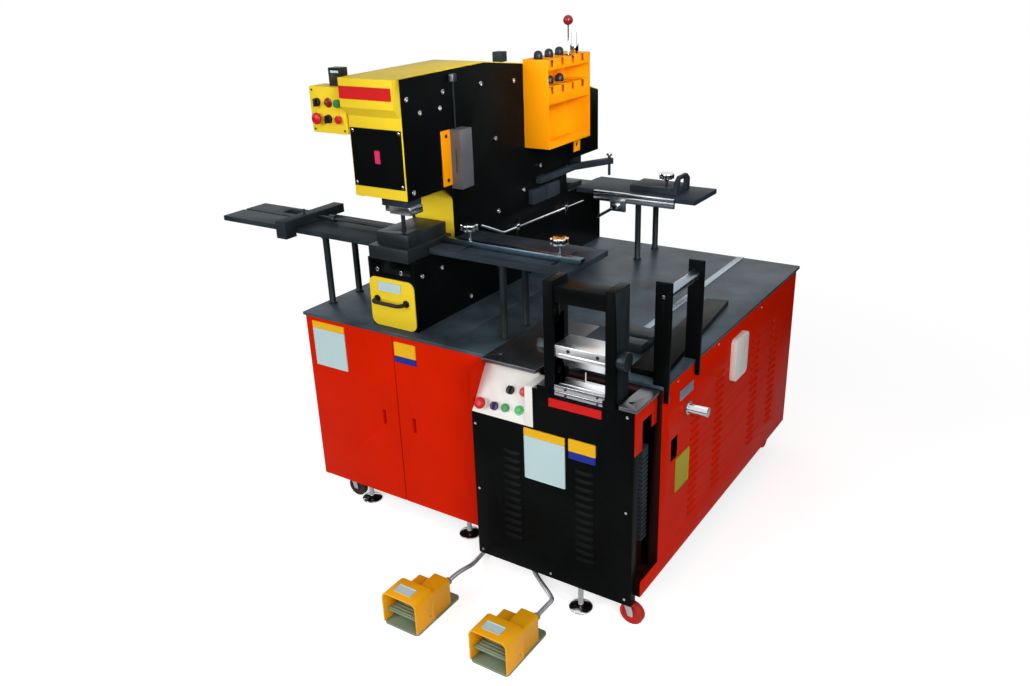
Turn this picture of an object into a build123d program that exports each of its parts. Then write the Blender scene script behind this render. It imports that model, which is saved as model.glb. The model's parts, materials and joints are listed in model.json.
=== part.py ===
from build123d import *
import math
import os

# Busbar processing machine: a punching and shearing press on a cabinet, with feed tables,
# and a bending station that stands out of the cabinet's right half.
# Drawn from the cabinet's front left corner on the floor: X to the right, Y to the back, Z up.
# The finished pieces are moved so that the origin lies on the floor under the middle of the machine.

# Cabinet
CABINET_WIDTH = 1462.0
CABINET_DEPTH = 1369.0
CABINET_LIFT = 115.0
CABINET_HEIGHT = 700.0
STATION_WIDTH = 619.0
PANEL = 2.0
BASE_SHEET = 3.0
TUBE = 35.0
CHEEK_FLANGE = 17.0
RECESS_BACK = 68.0
RECESS_DEPTH = 62.0
RECESS_WIDTH = 62.0
RECESS_GAP = 3.0
STRIP_HEIGHT = 60.0
REAR_SEAM = 4.0

# Doors
DOOR_THICK = 18.0
DOOR_SPLIT = 430.0
DOOR_GAP = 4.0
DOOR_END_GAP = 3.5
DOOR_SWING_GAP = 5.0
EAR_THICK = 3.0
HINGE_PIN = 3.0
HINGE_INSET = 8.0
PULL_WIDTH = 16.0
PULL_HEIGHT = 62.0
PULL_INSET = 72.0
PULL_DROP = 351.0

# Right cheek of the bending station, down from the cabinet's top
CHEEK_TOP_DROP = 12.0
CHEEK_STEP_DROP = 115.0
CHEEK_NOTCH_DROP = 67.0
CHEEK_LOW_DROP = 167.0
CHEEK_BACK = 60.0
CHEEK_STEP = 25.0
CHEEK_NOTCH = -40.0

# Louvres
VENT_PITCH = 30.0
VENT_RISE = 12.0
VENT_GAP = 9.0
VENT_OUT = 7.0
VENT_HALF = 33.0
VENT_LEVEL = 107.0
FRONT_VENT_LEVEL = 93.0
FRONT_VENTS = 12
FRONT_VENT_LEFT = 122.0
FRONT_VENT_RIGHT = 135.0
FRONT_VENT_WIDTH = 68.0
SIDE_VENT_SHORT = 14
SIDE_VENT_LONG = 16
SIDE_VENT_Y = 337.0
SIDE_VENT_NEXT = 214.0
SIDE_VENT_GAP = 366.0
WINDOW_Y = 144.0
WINDOW_WIDTH = 51.0
WINDOW_DROP = 217.0
WINDOW_HEIGHT = 81.0

# Table plates and steel plates
TABLE_THICK = 12.0
TABLE_FRONT_OVERHANG = 7.0
TABLE_SIDE_OVERHANG = 6.0
TABLE_BACK_OVERHANG = 22.0
TABLE_SEAM_INSET = 172.0
SEAM_GAP = 0.5
DECK_FRONT = -31.0
DECK_BACK = 405.0
DECK_RIGHT_INSET = 402.0
DECK_HOLE_RADIUS = 4.0
DECK_HOLE_INSET = 43.0
DECK_HOLE_Y = 23.0
SIDE_BAR_LEFT = 48.0
SIDE_BAR_WIDTH = 60.0
SIDE_BAR_OUT = 9.0
SIDE_BAR_BACK = 56.0
SIDE_HOLE_RADIUS = 8.0
SIDE_HOLE_INSET = 22.0
SIDE_HOLE_BACK = 43.0
GAUGE_RAIL_INSET = 264.0
GAUGE_RAIL_WIDTH = 28.0
GAUGE_RAIL_FRONT = 420.0
GAUGE_BLOCK_LEFT = 8.0
GAUGE_BLOCK_WIDTH = 110.0
GAUGE_BLOCK_FRONT = 250.0
GAUGE_BLOCK_DEPTH = 150.0
GAUGE_BLOCK_HEIGHT = 33.0
GAUGE_SLOT_FRONT = 50.0
GAUGE_SLOT_WIDTH = 30.0
GAUGE_SLOT_DEPTH = 12.0

# Front cover and console of the bending station
BUMP = 95.0
COVER_INSET = 17.0
COVER_BOTTOM = 91.0
COVER_RETURN = 33.0
COVER_GAP = 1.0
COVER_SHOULDER = 19.0
COVER_GATE_DROP = 28.0
COVER_PILLAR_DROP = 15.0
COVER_PILLAR_GAP = 18.0
COVER_EAR_LEFT = 39.0
COVER_EAR_RIGHT = 4.0
COVER_GATE_LEFT = 19.0
SIGN_TOP_DROP = 29.0
SIGN_HEIGHT = 40.0
SIGN_LEFT = 14.0
SIGN_RIGHT = 29.0
CONSOLE_WIDTH = 212.0
CONSOLE_DROP = 148.0
CONSOLE_TOP_GAP = 10.0
CONSOLE_SHEET = 3.0
PILLAR_WIDTH = 29.0
PILLAR_DROP = 5.0

# Gate and die of the bending station
GATE_GAP = 46.0
POST_WIDTH = 32.0
POST_DEPTH = 95.0
GATE_CLEAR_WIDTH = 180.0
GATE_HEIGHT = 350.0
CROSSBAR_HEIGHT = 52.0
CROSSBAR_DEPTH = 80.0
CROSSBAR_DROP = 15.0
CROSSBAR_SETBACK = 7.0
BEAM_HEIGHT = 60.0
BEAM_TOP_DROP = 115.0
BLOCK_HEIGHT = 39.0
BLOCK_RISE = 106.0
BLOCK_DEPTH = 99.0
BLOCK_SETBACK = 7.0
BLOCK_LIP = 13.0
BLOCK_LIP_OUT = 3.0
BLOCK_END = 15.0
PUNCH_DROP = 41.0
PUNCH_TIP = 4.0
GATE_PIN_RADIUS = 14.0
GATE_PIN_SETBACK = 34.0
GATE_PIN_RISE = 21.0
GATE_NUT_RADIUS = 28.0
GATE_NUT_HEIGHT = 32.0
GATE_KNOB_RADIUS = 30.0
GATE_KNOB_WIDTH = 29.0
KEEPER_HEIGHT = 20.0
KEEPER_THICK = 10.0
KEEPER_SETBACK = 2.0
KEEPER_GAP = 1.0
BOSS_RADIUS = 10.0
BOSS_LENGTH = 5.0
BOSS_SETBACK = 32.0
BOSS_RISE = 50.0
DIE_TRAVEL = 48.0
DIE_HEIGHT = 67.0
DIE_DEPTH = 52.0
DIE_SIDE_GAP = 6.0
GROOVE_HALF = 16.0
GROOVE_DEPTH = 22.0
DIE_PIN_RADIUS = 2.5
DIE_PIN_OFFSET = 14.0
DIE_PIN_BACK = 23.0
DIE_PIN_HEIGHT = 30.0
DIE_PIN_SUNK = 5.0
ROD_RADIUS = 25.0
ROD_TAIL = 30.0
CYLINDER_RADIUS = 42.0
CYLINDER_FOOT = 82.0
CYLINDER_SPARE = 10.0
RUNNING = 0.05

# Roller stand
STAND_GAP = 2.0
STAND_DEPTH = 252.0
STAND_THICK = 12.0
STAND_INSET = 37.0
STAND_OUT = 15.0
STAND_FOOT_DROP = 55.0
STAND_HEAD = 45.0
ROLLER_INSET = 11.0
ROLLER_RISE = 303.0
ROLLER_RADIUS = 18.0
STAND_DECK_HEIGHT = 20.0
STAND_DECK_FRONT = 105.0
STAND_DECK_LEFT = 138.0
STAND_DECK_RIGHT = 22.0
STAND_DECK_BACK = 820.0
STAND_DECK_BACK_LEFT = 168.0
STAND_DECK_BACK_RIGHT = 90.0
STAND_DECK_SKEW = 20.0

# Press
PRESS_LEFT = 316.0
PRESS_WIDTH = 209.0
PRESS_FRONT = 37.0
SIDE_PLATE = 15.0
BASE_HEIGHT = 256.0
HEAD_HEIGHT = 400.0
THROAT_OPENING = 220.0
THROAT_DEPTH = 263.0
THROAT_CHAMFER = 47.0
THROAT_SLANT = 60.0
THROAT_FILLET = 25.0
REAR_THROAT_DEPTH = 300.0
REAR_BED_RISE = 22.0
REAR_OPENING = 135.0
REAR_HEAD_INSET = 19.0
REAR_HEAD_DROP = 203.0
RIDGE_REACH = 478.0
SLOPE_REACH = 736.0
RIDGE_RISE = 3.0
SLOPE_DROP = 32.0
CORE_INSET = 12.0
CORE_FRONT = 20.0
CORE_REAR = 30.0
FRONT_PLATE = 12.0
BED_PLATE = 15.0
RAM_LENGTH = 130.0
RAM_RADIUS = 30.0
PUNCH_INSET = 127.0
PUNCH_REACH = 63.0
PUNCH_RADIUS = 7.5
PUNCH_LENGTH = 69.0
SHEAR_INSET = 161.0

# Covers and bolts of the head
VISOR_DEPTH = 37.0
VISOR_HEIGHT = 92.0
VISOR_SLOPE = 32.0
COVER_OVERHANG = 22.0
COVER_SHEET = 3.0
COVER_LIP = 2.0
THROAT_PANEL = 12.0
THROAT_PANEL_DROP = 25.0
FLANGE_THICK = 5.0
FLANGE_REACH = 197.0
FLANGE_WIDTH = 50.0
FLANGE_TOP_DROP = 197.0
FLANGE_HEIGHT = 194.0
CAP_INSET = 85.0
CAP_REACH = 653.0
CAP_WIDTH = 40.0
CAP_RISE = 20.0
CAP_DROP = 17.0
BOLT_RADIUS = 9.0
BOLT_HEAD = 8.0
BOLT_SOCKET = 4.5
BOLT_SOCKET_DEPTH = 4.0
# How far each bolt lies behind the press's front, and below the head's top
HEAD_BOLTS = ((24.0, 66.0), (217.0, 66.0), (197.0, 118.0), (88.0, 118.0), (442.0, 67.0), (658.0, 82.0),
              (522.0, 276.0))
# How far each bolt lies behind the press's front, and above the bed
BODY_BOLTS = ((835.0, 182.0), (707.0, 109.0), (525.0, 65.0), (39.0, -54.0), (152.0, -54.0), (318.0, -217.0))
THROAT_BOLT_REACH = 28.0
THROAT_BOLT_RISE = 26.0
SCREW_RADIUS = 6.0
SCREW_HEAD = 3.0
PLAQUE_INSET = 14.0
PLAQUE_TOP_DROP = 173.0
PLAQUE_SCREW_PITCH = 178.0
PLATE_SCREW_RADIUS = 8.0
PLATE_SCREW_HEAD = 4.0
PLATE_SCREW_DROP = 40.0
PLATE_SCREW_LEFT = 44.0
PLATE_SCREW_RIGHT = 56.0

# Dies, rams and drawer
BED_HEIGHT = 48.0
BED_OUT = 7.0
BED_BACK_GAP = 20.0
GUIDE_HEIGHT = 44.0
GUIDE_LEFT = 32.0
GUIDE_WIDTH = 144.0
GUIDE_FRONT = 23.0
GUIDE_DEPTH = 215.0
GUIDE_CHAMFER = 2.0
PUNCH_HOLE_GAP = 2.0
SLUG_HOLE_GAP = 4.0
REAR_BLOCK_LEFT = 29.0
REAR_BLOCK_WIDTH = 150.0
REAR_BLOCK_HALF = 45.0
REAR_BLOCK_HEIGHT = 27.0
STRIPPER_LIFT = 70.0
STRIPPER_HEIGHT = 27.0
STRIPPER_LEFT = 65.0
STRIPPER_RIGHT = 64.0
STRIPPER_HALF = 35.0
STRIPPER_NOTCH = 37.0
STRIPPER_NOTCH_DEPTH = 20.0
CLAMP_LEFT = 58.0
CLAMP_RIGHT = 57.0
CLAMP_HALF = 38.0
HEAD_GAP = 3.0
SHEAR_BLOCK_HEIGHT = 48.0
SHEAR_BLOCK_HALF = 40.0
SHEAR_EDGE = 20.0
DRAWER_HEIGHT = 185.0
DRAWER_DEPTH = 430.0
DRAWER_BOX_HEIGHT = 150.0
DRAWER_SIDE_GAP = 2.0
DRAWER_BOX_GAP = 9.0
DRAWER_FRONT = 5.0
DRAWER_FRONT_GAP = 1.0
DRAWER_CORNER = 28.0
HANDLE_LEVEL = 105.0
HANDLE_OUT = 36.0
HANDLE_LEFT = 36.0
HANDLE_RIGHT = 40.0
HANDLE_BEND = 22.0
HANDLE_RADIUS = 7.0
HANDLE_FOOT = 13.0
HANDLE_FOOT_THICK = 4.0

# Feed tables
FEED_RISE = 34.0
FEED_THICK = 20.0
FEED_LEFT = -515.0
FEED_RIGHT = 1094.0
LEFT_FEED_FRONT = 100.0
LEFT_FEED_DEPTH = 225.0
RIGHT_FEED_FRONT = 128.0
RIGHT_FEED_DEPTH = 269.0
REAR_FEED_INSET = 246.0
REAR_FEED_DEPTH = 229.0
REAR_FEED_LEFT = 15.0
SCALE_GROOVE_END = -150.0
SCALE_GROOVE_FRONT = 110.0
SCALE_GROOVE_WIDTH = 10.0
SCALE_GROOVE_DEPTH = 5.0
GRIP_SLOT_LEFT = -330.0
GRIP_SLOT_LENGTH = 80.0
GRIP_SLOT_FRONT = 150.0
GRIP_SLOT_WIDTH = 50.0
FEED_POST_RADIUS = 12.5
POST_FLANGE = 17.0
POST_FLANGE_THICK = 6.0
LEFT_POST_X = 30.0
RIGHT_POST_X = 822.0
REAR_POST_X = 830.0
POST_EDGE = 22.0
LEFT_POST_PITCH = 153.0
RIGHT_POST_PITCH = 139.0
REAR_POST_PITCH = 175.0
RAIL_LEFT = 634.0
RAIL_RIGHT = 1006.0
RAIL_TOP_DEPTH = 18.0
RAIL_TOP_HEIGHT = 15.0
RAIL_LOW_DEPTH = 14.0
RAIL_LOW_TOP = 17.0
RAIL_LOW_HEIGHT = 25.0
RAIL_NECK_DEPTH = 12.0
BRACKET_LEFT = 720.0
BRACKET_WIDTH = 70.0
BRACKET_OUT = 26.0
BRACKET_TOP = 7.0
BRACKET_HEIGHT = 70.0
LEVER_LEFT = 30.0
LEVER_DROP = 55.0
LEVER_HUB = 14.0
LEVER_HUB_LENGTH = 14.0
LEVER_REACH = 105.0
LEVER_SLANT = 32.0
LEVER_RADIUS = 6.5

# Fence, stops and knobs
STEM_RADIUS = 6.0
SLOT_GAP = 1.0
SLOT_SPARE = 10.0
FENCE_FRONT = 203.0
FENCE_DEPTH = 32.0
FENCE_HEIGHT = 22.0
FENCE_EDGE = 10.0
FENCE_LEFT_GAP = 5.0
FENCE_OVERHANG = 3.0
FENCE_FORWARD = 40.0
FENCE_BACKWARD = 100.0
FENCE_STEM_LEFT = 641.0
FENCE_STEM_PITCH = 366.0
FENCE_KNOB_RISE = 58.0
KNOB_RADIUS = 31.0
KNOB_HEIGHT = 22.0
KNOB_LOBES = 6
KNOB_SCALLOP = 12.0
KNOB_SCALLOP_REACH = 38.0
KNOB_NECK = 14.0
WASHER_RADIUS = 14.0
WASHER_THICK = 6.0
STOP_BEAM_LEFT = -152.0
STOP_BEAM_WIDTH = 52.0
STOP_BEAM_HEIGHT = 35.0
STOP_BEAM_HOOK = 55.0
STOP_BEAM_DROP = 32.0
STOP_BEAM_BACK = 45.0
STOP_PIN_RADIUS = 5.0
STOP_PIN_HEIGHT = 20.0
STOP_PIN_FRONT = 75.0
STOP_ROD_Y = 222.0
STOP_ROD_RISE = 18.0
STOP_ROD_LEFT = -190.0
STOP_ROD_RIGHT = 256.0
STOP_COLLAR_LEFT = -35.0
STOP_COLLAR_LENGTH = 30.0
STOP_COLLAR_RADIUS = 14.0
REAR_STOP_LEFT = 775.0
REAR_STOP_LENGTH = 200.0
REAR_STOP_FRONT = 50.0
REAR_STOP_DEPTH = 135.0
REAR_STOP_HEIGHT = 24.0
ARCH_THICK = 15.0
ARCH_RISE = 73.0
ARCH_SHOULDER = 50.0
ARCH_CHAMFER = 30.0
ARCH_OPENING = 61.0
ARCH_OPENING_FRONT = 37.0
ARCH_OPENING_LOW = 28.0
ARCH_OPENING_HIGH = 58.0
REAR_KNOB_INSET = 45.0
REAR_KNOB_FRONT = 30.0
REAR_KNOB_RISE = 60.0

# Hold-down arm, guide blocks and pipe of the right side plate
ARM_GAP = 8.0
ARM_WIDTH = 24.0
ARM_RISE = 83.0
ARM_THICK = 25.0
ARM_START = 315.0
ARM_BEND = 35.0
ARM_INNER_BEND = 15.0
ARM_REACH = 121.0
ARM_TIP = 145.0
ARM_TIP_WIDTH = 22.0
ARM_TIP_DEPTH = 14.0
ARM_PAD_START = 305.0
ARM_PAD_LENGTH = 60.0
ARM_BOLT_X = 103.0
ARM_BOLT_Y = 140.0
ARM_BOLT_LOW = 33.0
ARM_BOLT_SHANK = 86.0
ARM_BOLT_HEAD = 10.0
ARM_BOLT_HEAD_RADIUS = 12.0
GUIDE_BLOCK_THICK = 23.0
GUIDE_BLOCK_LENGTH = 100.0
GUIDE_BLOCK_PITCH = 110.0
GUIDE_BLOCK_START = 360.0
GUIDE_BLOCK_RISE = 5.0
GUIDE_BLOCK_HEIGHT = 58.0
PIPE_RADIUS = 6.0
PIPE_OUT = 15.0
PIPE_BEND = 60.0
PIPE_START = 391.0
PIPE_START_RISE = 43.0
PIPE_KNEE = 535.0
PIPE_KNEE_DROP = 22.0
PIPE_END_INSET = 190.0
PIPE_END_DROP = 40.0
CLIP_LENGTH = 20.0
CLIP_HEIGHT = 24.0
CLIP_START = 90.0
CLIP_PITCH = 380.0

# Controls
SHAFT_RADIUS = 11.0
SHAFT_TAIL = 12.0
BEZEL_RADIUS = 17.0
BEZEL_HEIGHT = 4.0
PUSH = 4.0
PUSH_GAP = 1.0
SELECTOR_WIDTH = 8.0
SELECTOR_RISE = 10.0
KEY_WIDTH = 4.0
KEY_RISE = 14.0
GRIP_HALF = 13.0
BEZEL_EDGE = 1.0
RING_RADIUS = 15.0
RING_HEIGHT = 8.0
# Radius and height of each step of a turned cap, from its foot to its top
LAMP_STEPS = ((12, 4), (10, 12), (6, 15), (0, 16))
BUTTON_STEPS = ((14, 0), (14, 5), (12, 7), (0, 7))
MUSHROOM_STEPS = ((16, 0), (20, 6), (20, 11), (17, 15), (9, 18), (0, 19))
# Places on the console's slope: across from its left edge, and down from its top edge
SELECTOR_PLACE = (126, 77)
MUSHROOM_PLACE = (32, 144)
KEY_PLACE = (83, 141)
BUTTON_PLACE = (127, 138)
HIGH_LAMP_PLACE = (174, 72)
LOW_LAMP_PLACE = (175, 134)
BOX_OUT = 10.0
BOX_WIDTH = 162.0
BOX_TOP_DROP = 36.0
BOX_HEIGHT = 156.0
BOX_DEPTH = 70.0
BOX_CORNER = 6.0
BOX_FIRST_COLUMN = 38.0
BOX_COLUMN_PITCH = 47.5
BOX_FIRST_ROW = 52.0
BOX_ROW_PITCH = 54.0
BOX_BRACKET = 4.0
BOX_BRACKET_EDGE = 12.0
COUNTER_LEFT = 80.0
COUNTER_WIDTH = 51.0
COUNTER_HEIGHT = 61.0
COUNTER_DEPTH = 40.0
COUNTER_SETBACK = 10.0
COUNTER_FRAME = 5.0
DISPLAY_LOW = 30.0
DISPLAY_HEIGHT = 24.0
DISPLAY_DEPTH = 3.0

# Tool rack
RACK_DEPTH = 113.0
RACK_START = 731.0
RACK_WIDTH = 326.0
RACK_HEIGHT = 335.0
RACK_TOP_DROP = 13.0
RACK_SHELF_DROP = 100.0
RACK_TOP_LIP = 40.0
RACK_MIDDLE_LIP = 67.0
RACK_LOW_LIP = 30.0
RACK_SLOT_START = 32.0
RACK_SLOT_PITCH = 78.0
RACK_SLOT_HALF = 12.0
RACK_SLOT_LEFT = 34.0
RACK_SLOT_RIGHT = 10.0
RACK_NOTCH_HALF = 10.0
RACK_NOTCH_DEPTH = 28.0
TAB_LEFT = 75.0
TAB_START = 253.0
TAB_WIDTH = 51.0
TAB_HEIGHT = 58.0
TAB_HOLE = 9.0
TAB_HOLE_DROP = 30.0
TOOL_LEFT = 51.0
TOOL_SHANK = 9.0
TOOL_DEPTH = 30.0
TOOL_STEPS = ((17, 0), (17, 18), (13, 26), (6, 30), (0, 31))
STEPPED_DEPTH = 20.0
STEPPED_STEPS = ((16.5, 0), (16.5, 34), (11, 40), (11, 78), (0, 78))
STEPPED_LEFT = 75.0
BALL_ROD_LEFT = 93.0
BALL_RADIUS = 19.0
BALL_ROD_RADIUS = 2.5
BALL_ROD_HEIGHT = 120.0
BALL_ROD_DEPTH = 25.0
COLLAR_RADIUS = 14.0
COLLAR_THICK = 3.0

# Fittings of the right side and the head
WALL_BOX_Y = 645.0
WALL_BOX_WIDTH = 127.0
WALL_BOX_DROP = 50.0
WALL_BOX_HEIGHT = 165.0
WALL_BOX_THICK = 20.0
WALL_BOX_CORNER = 20.0
FILLER_Y = 270.0
FILLER_DROP = 153.0
FILLER_RADIUS = 17.0
FILLER_LENGTH = 72.0
FILLER_FLANGE = 24.0
FILLER_FLANGE_THICK = 5.0
NAME_PLATE_Y = 198.0
NAME_PLATE_WIDTH = 105.0
NAME_PLATE_DROP = 64.0
NAME_PLATE_HEIGHT = 35.0
NAME_PLATE_THICK = 3.0
DUCT_WIDTH = 40.0
DUCT_DROP = 175.0
DUCT_HEIGHT = 340.0
DUCT_BASE = 10.0
DUCT_SLOT = 6.0
DUCT_PITCH = 16.0
DUCT_END = 12.0
SWITCH_BOX_OUT = 46.0
SWITCH_BOX_REACH = 248.0
SWITCH_BOX_DEPTH = 71.0
SWITCH_BOX_DROP = 198.0
SWITCH_BOX_HEIGHT = 208.0
SWITCH_SLOT_LEFT = 20.0
SWITCH_SLOT_WIDTH = 8.0
SWITCH_SLOT_DEPTH = 15.0
SWITCH_SLOT_LOW = 58.0
SWITCH_SLOT_HEIGHT = 85.0
MAST_LEFT = 17.0
MAST_RADIUS = 3.0
MAST_HEIGHT = 163.0
MAST_CAP = 24.0
MAST_CAP_RADIUS = 14.0

# Hydraulic unit in the cabinet
TANK_LEFT = 120.0
TANK_WIDTH = 500.0
TANK_FRONT = 520.0
TANK_DEPTH = 380.0
TANK_HEIGHT = 282.0
TANK_CORNER = 12.0
MOTOR_LEFT = 140.0
MOTOR_FRONT = 180.0
MOTOR_RADIUS = 72.0
MOTOR_HEIGHT = 225.0
MOTOR_FOOT_RADIUS = 95.0
MOTOR_FOOT = 12.0
MOTOR_SHOULDER = 8.0
MOTOR_CAP = 15.0
FIN_RADIUS = 78.0
FIN_THICK = 5.0
FIN_PITCH = 17.0
FIN_COUNT = 10
FIN_START = 30.0
VALVE_LEFT = 310.0
VALVE_WIDTH = 130.0
VALVE_FRONT = 80.0
VALVE_DEPTH = 160.0
VALVE_HEIGHT = 80.0
KNUCKLE_RADIUS = 22.0
KNUCKLE_HEIGHT = 60.0
KNUCKLE_INSET = 20.0
KNUCKLE_FRONT = 50.0

# Foot switches
SWITCH_LEFT_X = 794.0
SWITCH_RIGHT_X = 1150.0
SWITCH_WIDTH = 144.0
SWITCH_HEIGHT = 128.0
SWITCH_FRONT = -488.0
SWITCH_HOOD = 97.0
SWITCH_BODY = 91.0
SWITCH_BODY_HEIGHT = 80.0
SWITCH_BODY_INSET = 3.0
SWITCH_CAP_HEIGHT = 112.0
SWITCH_CAP_WIDTH = 68.0
SWITCH_CAP_CORNER = 10.0
SWITCH_WALL = 5.0
SWITCH_BASE = 8.0
SWITCH_BASE_TAIL = 50.0
SWITCH_BASE_CORNER = 14.0
HOOD_CORNER = 22.0
GLAND_SIDE = 55.0
GLAND_LEVEL = 90.0
GLAND_RADIUS = 13.0
GLAND_LENGTH = 15.0
PEDAL_PIN = 4.0
PEDAL_PIN_INSET = 22.0
PEDAL_PIN_LEVEL = 34.0
PEDAL_SIDE_GAP = 12.0
PEDAL_FRONT_GAP = 12.0
PEDAL_THICK = 8.0
PEDAL_RISE = 16.0
PEDAL_TILT = 8.0
PEDAL_HUB = 9.0
PEDAL_WEB_HALF = 7.0
PEDAL_RIBS = 5
PEDAL_RIB = 5.0
PEDAL_RIB_PITCH = 13.0
PEDAL_RIB_RISE = 3.0
CONDUIT_RADIUS = 8.0
ELBOW_LENGTH = 22.0
# Each route runs from the gland behind a switch, over the floor, to the fitting under the base sheet
LEFT_ROUTE = [(849, -285, 90), (849, -236, 90), (838, -174, 66), (818, -108, 32), (799, -38, 15),
              (790, 34, 13), (792, 104, 14.5), (796, 166, 38), (798, 204, 76)]
RIGHT_ROUTE = [(1205, -285, 90), (1205, -232, 90), (1196, -178, 74), (1171, -137, 45), (1126, -90, 24),
               (1066, -44, 14), (1012, -2, 13), (962, 44, 15), (926, 94, 36), (904, 126, 75)]

# Castors and feet
WHEEL_RADIUS = 42.0
WHEEL_WIDTH = 24.0
WHEEL_CLEAR = 1.5
WHEEL_HUB = 14.0
WHEEL_WAIST = 4.0
TREAD_INNER = 12.0
TREAD_EDGE = 3.0
AXLE_RADIUS = 5.0
CASTOR_TRAIL = 22.0
CASTOR_PLATE = 4.0
CASTOR_PLATE_HALF = 30.0
FORK_HEAD = 8.0
FORK_HEAD_RADIUS = 20.0
FORK_PIN = 7.0
FORK_GAP = 2.0
FORK_LEG = 3.0
LEG_TOP = 14.0
LEG_LOW = 9.0
FIXED_LEG_TOP = 24.0
LEFT_SWIVEL_X = 78.0
LEFT_SWIVEL_BACK = 58.0
RIGHT_SWIVEL_INSET = 50.0
RIGHT_SWIVEL_BACK = 34.0
LEFT_CASTOR_X = 100.0
RIGHT_CASTOR_INSET = 62.0
REAR_LINE_INSET = 79.0
FOOT_LEFT = 169.0
FOOT_MIDDLE = 667.0
FOOT_RIGHT_INSET = 212.0
FOOT_BACK = 60.0
FOOT_BUMP_BACK = 14.0
FOOT_RADIUS = 41.0
FOOT_RIM = 5.0
FOOT_DOME = 17.0
FOOT_BULGE = 1.0
FOOT_STEM = 9.0
LOCK_NUT_RADIUS = 13.0
LOCK_NUT_HEIGHT = 16.0

SEAT = 0.3

# Levels and faces worked out from the sizes above
CABINET_TOP = CABINET_LIFT + CABINET_HEIGHT
TABLE_TOP = CABINET_TOP + TABLE_THICK
TABLE_RIGHT = CABINET_WIDTH + TABLE_SIDE_OVERHANG
TABLE_BACK = CABINET_DEPTH + TABLE_BACK_OVERHANG
FRAME_FRONT = DOOR_THICK + DOOR_GAP
FRAME_LEFT = PANEL
FRAME_RIGHT = CABINET_WIDTH - PANEL
FRAME_BACK = CABINET_DEPTH - PANEL
FRAME_LOW = CABINET_LIFT + BASE_SHEET
CHEEK_X = CABINET_WIDTH - STATION_WIDTH
BUMP_LEFT = CHEEK_X + PANEL
BUMP_FRONT = PANEL + COVER_GAP - BUMP
COVER_RIGHT = CABINET_WIDTH - COVER_INSET
RECESS_LEFT = CABINET_WIDTH - RECESS_WIDTH
TABLE_SEAM = CHEEK_X - TABLE_SEAM_INSET
DECK_RIGHT = CABINET_WIDTH - DECK_RIGHT_INSET
GAUGE_RAIL_X = CABINET_WIDTH - GAUGE_RAIL_INSET
DOOR_RIGHT = CHEEK_X - DOOR_SWING_GAP
DOOR_LOW = CABINET_LIFT + DOOR_END_GAP
DOOR_HIGH = CABINET_TOP - DOOR_END_GAP
PULL_LEVEL = CABINET_TOP - PULL_DROP
CONSOLE_RIGHT = BUMP_LEFT + CONSOLE_WIDTH
PILLAR_RIGHT = CONSOLE_RIGHT + PILLAR_WIDTH
CONSOLE_TOP = CABINET_TOP - CONSOLE_TOP_GAP
CONSOLE_FOOT = CONSOLE_TOP - CONSOLE_DROP
CONSOLE_SLOPE = math.hypot(BUMP, CONSOLE_DROP)
CONSOLE_NORMAL = (0, -CONSOLE_DROP / CONSOLE_SLOPE, BUMP / CONSOLE_SLOPE)
GATE_LEFT = PILLAR_RIGHT + GATE_GAP
GATE_INNER_LEFT = GATE_LEFT + POST_WIDTH
GATE_INNER_RIGHT = GATE_INNER_LEFT + GATE_CLEAR_WIDTH
GATE_RIGHT = GATE_INNER_RIGHT + POST_WIDTH
GATE_TOP = CABINET_TOP + GATE_HEIGHT
BEAM_TOP = CABINET_TOP - BEAM_TOP_DROP
BEAM_LOW = BEAM_TOP - BEAM_HEIGHT
BLOCK_BOTTOM = CABINET_TOP + BLOCK_RISE
DIE_X = GATE_INNER_LEFT + GATE_CLEAR_WIDTH / 2
DIE_Y = BUMP_FRONT + POST_DEPTH / 2
DIE_LOW = TABLE_TOP - DIE_HEIGHT
STAND_FRONT = SIDE_BAR_BACK + STAND_GAP
STAND_BACK = STAND_FRONT + STAND_DEPTH
ROLLER_X = TABLE_RIGHT - ROLLER_INSET
ROLLER_Z = CABINET_TOP + ROLLER_RISE
PRESS_RIGHT = PRESS_LEFT + PRESS_WIDTH
PRESS_BACK = TABLE_BACK
CORE_LEFT = PRESS_LEFT + SIDE_PLATE
CORE_RIGHT = PRESS_RIGHT - SIDE_PLATE
PRESS_BED = TABLE_TOP + BASE_HEIGHT
THROAT_TOP = PRESS_BED + THROAT_OPENING
THROAT_BACK = PRESS_FRONT + THROAT_DEPTH
HEAD_TOP = THROAT_TOP + HEAD_HEIGHT
RIDGE_Y = PRESS_FRONT + RIDGE_REACH
SLOPE_Y = PRESS_FRONT + SLOPE_REACH
REAR_THROAT = PRESS_BACK - REAR_THROAT_DEPTH
REAR_BED = PRESS_BED + REAR_BED_RISE
REAR_HEAD_BOTTOM = REAR_BED + REAR_OPENING
REAR_HEAD_TOP = HEAD_TOP - REAR_HEAD_DROP
REAR_HEAD_BACK = PRESS_BACK - REAR_HEAD_INSET
HEAD_LINE = ((RIDGE_Y, HEAD_TOP + RIDGE_RISE), (SLOPE_Y, HEAD_TOP + RIDGE_RISE - SLOPE_DROP),
             (REAR_HEAD_BACK, REAR_HEAD_TOP))
COVER_LEFT = PRESS_LEFT - COVER_OVERHANG
PUNCH_X = PRESS_LEFT + PUNCH_INSET
PUNCH_Y = PRESS_FRONT + PUNCH_REACH
SHEAR_Y = PRESS_BACK - SHEAR_INSET
GUIDE_TOP = PRESS_BED + BED_HEIGHT + GUIDE_HEIGHT
STRIPPER_LOW = GUIDE_TOP + STRIPPER_LIFT
STRIPPER_TOP = STRIPPER_LOW + STRIPPER_HEIGHT
DRAWER_LOW = TABLE_TOP + COVER_LIP
FEED_TOP = PRESS_BED + FEED_RISE
FEED_UNDER = FEED_TOP - FEED_THICK
FEED_SEAT = FEED_TOP + SEAT
REAR_FEED_FRONT = PRESS_BACK - REAR_FEED_INSET
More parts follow.
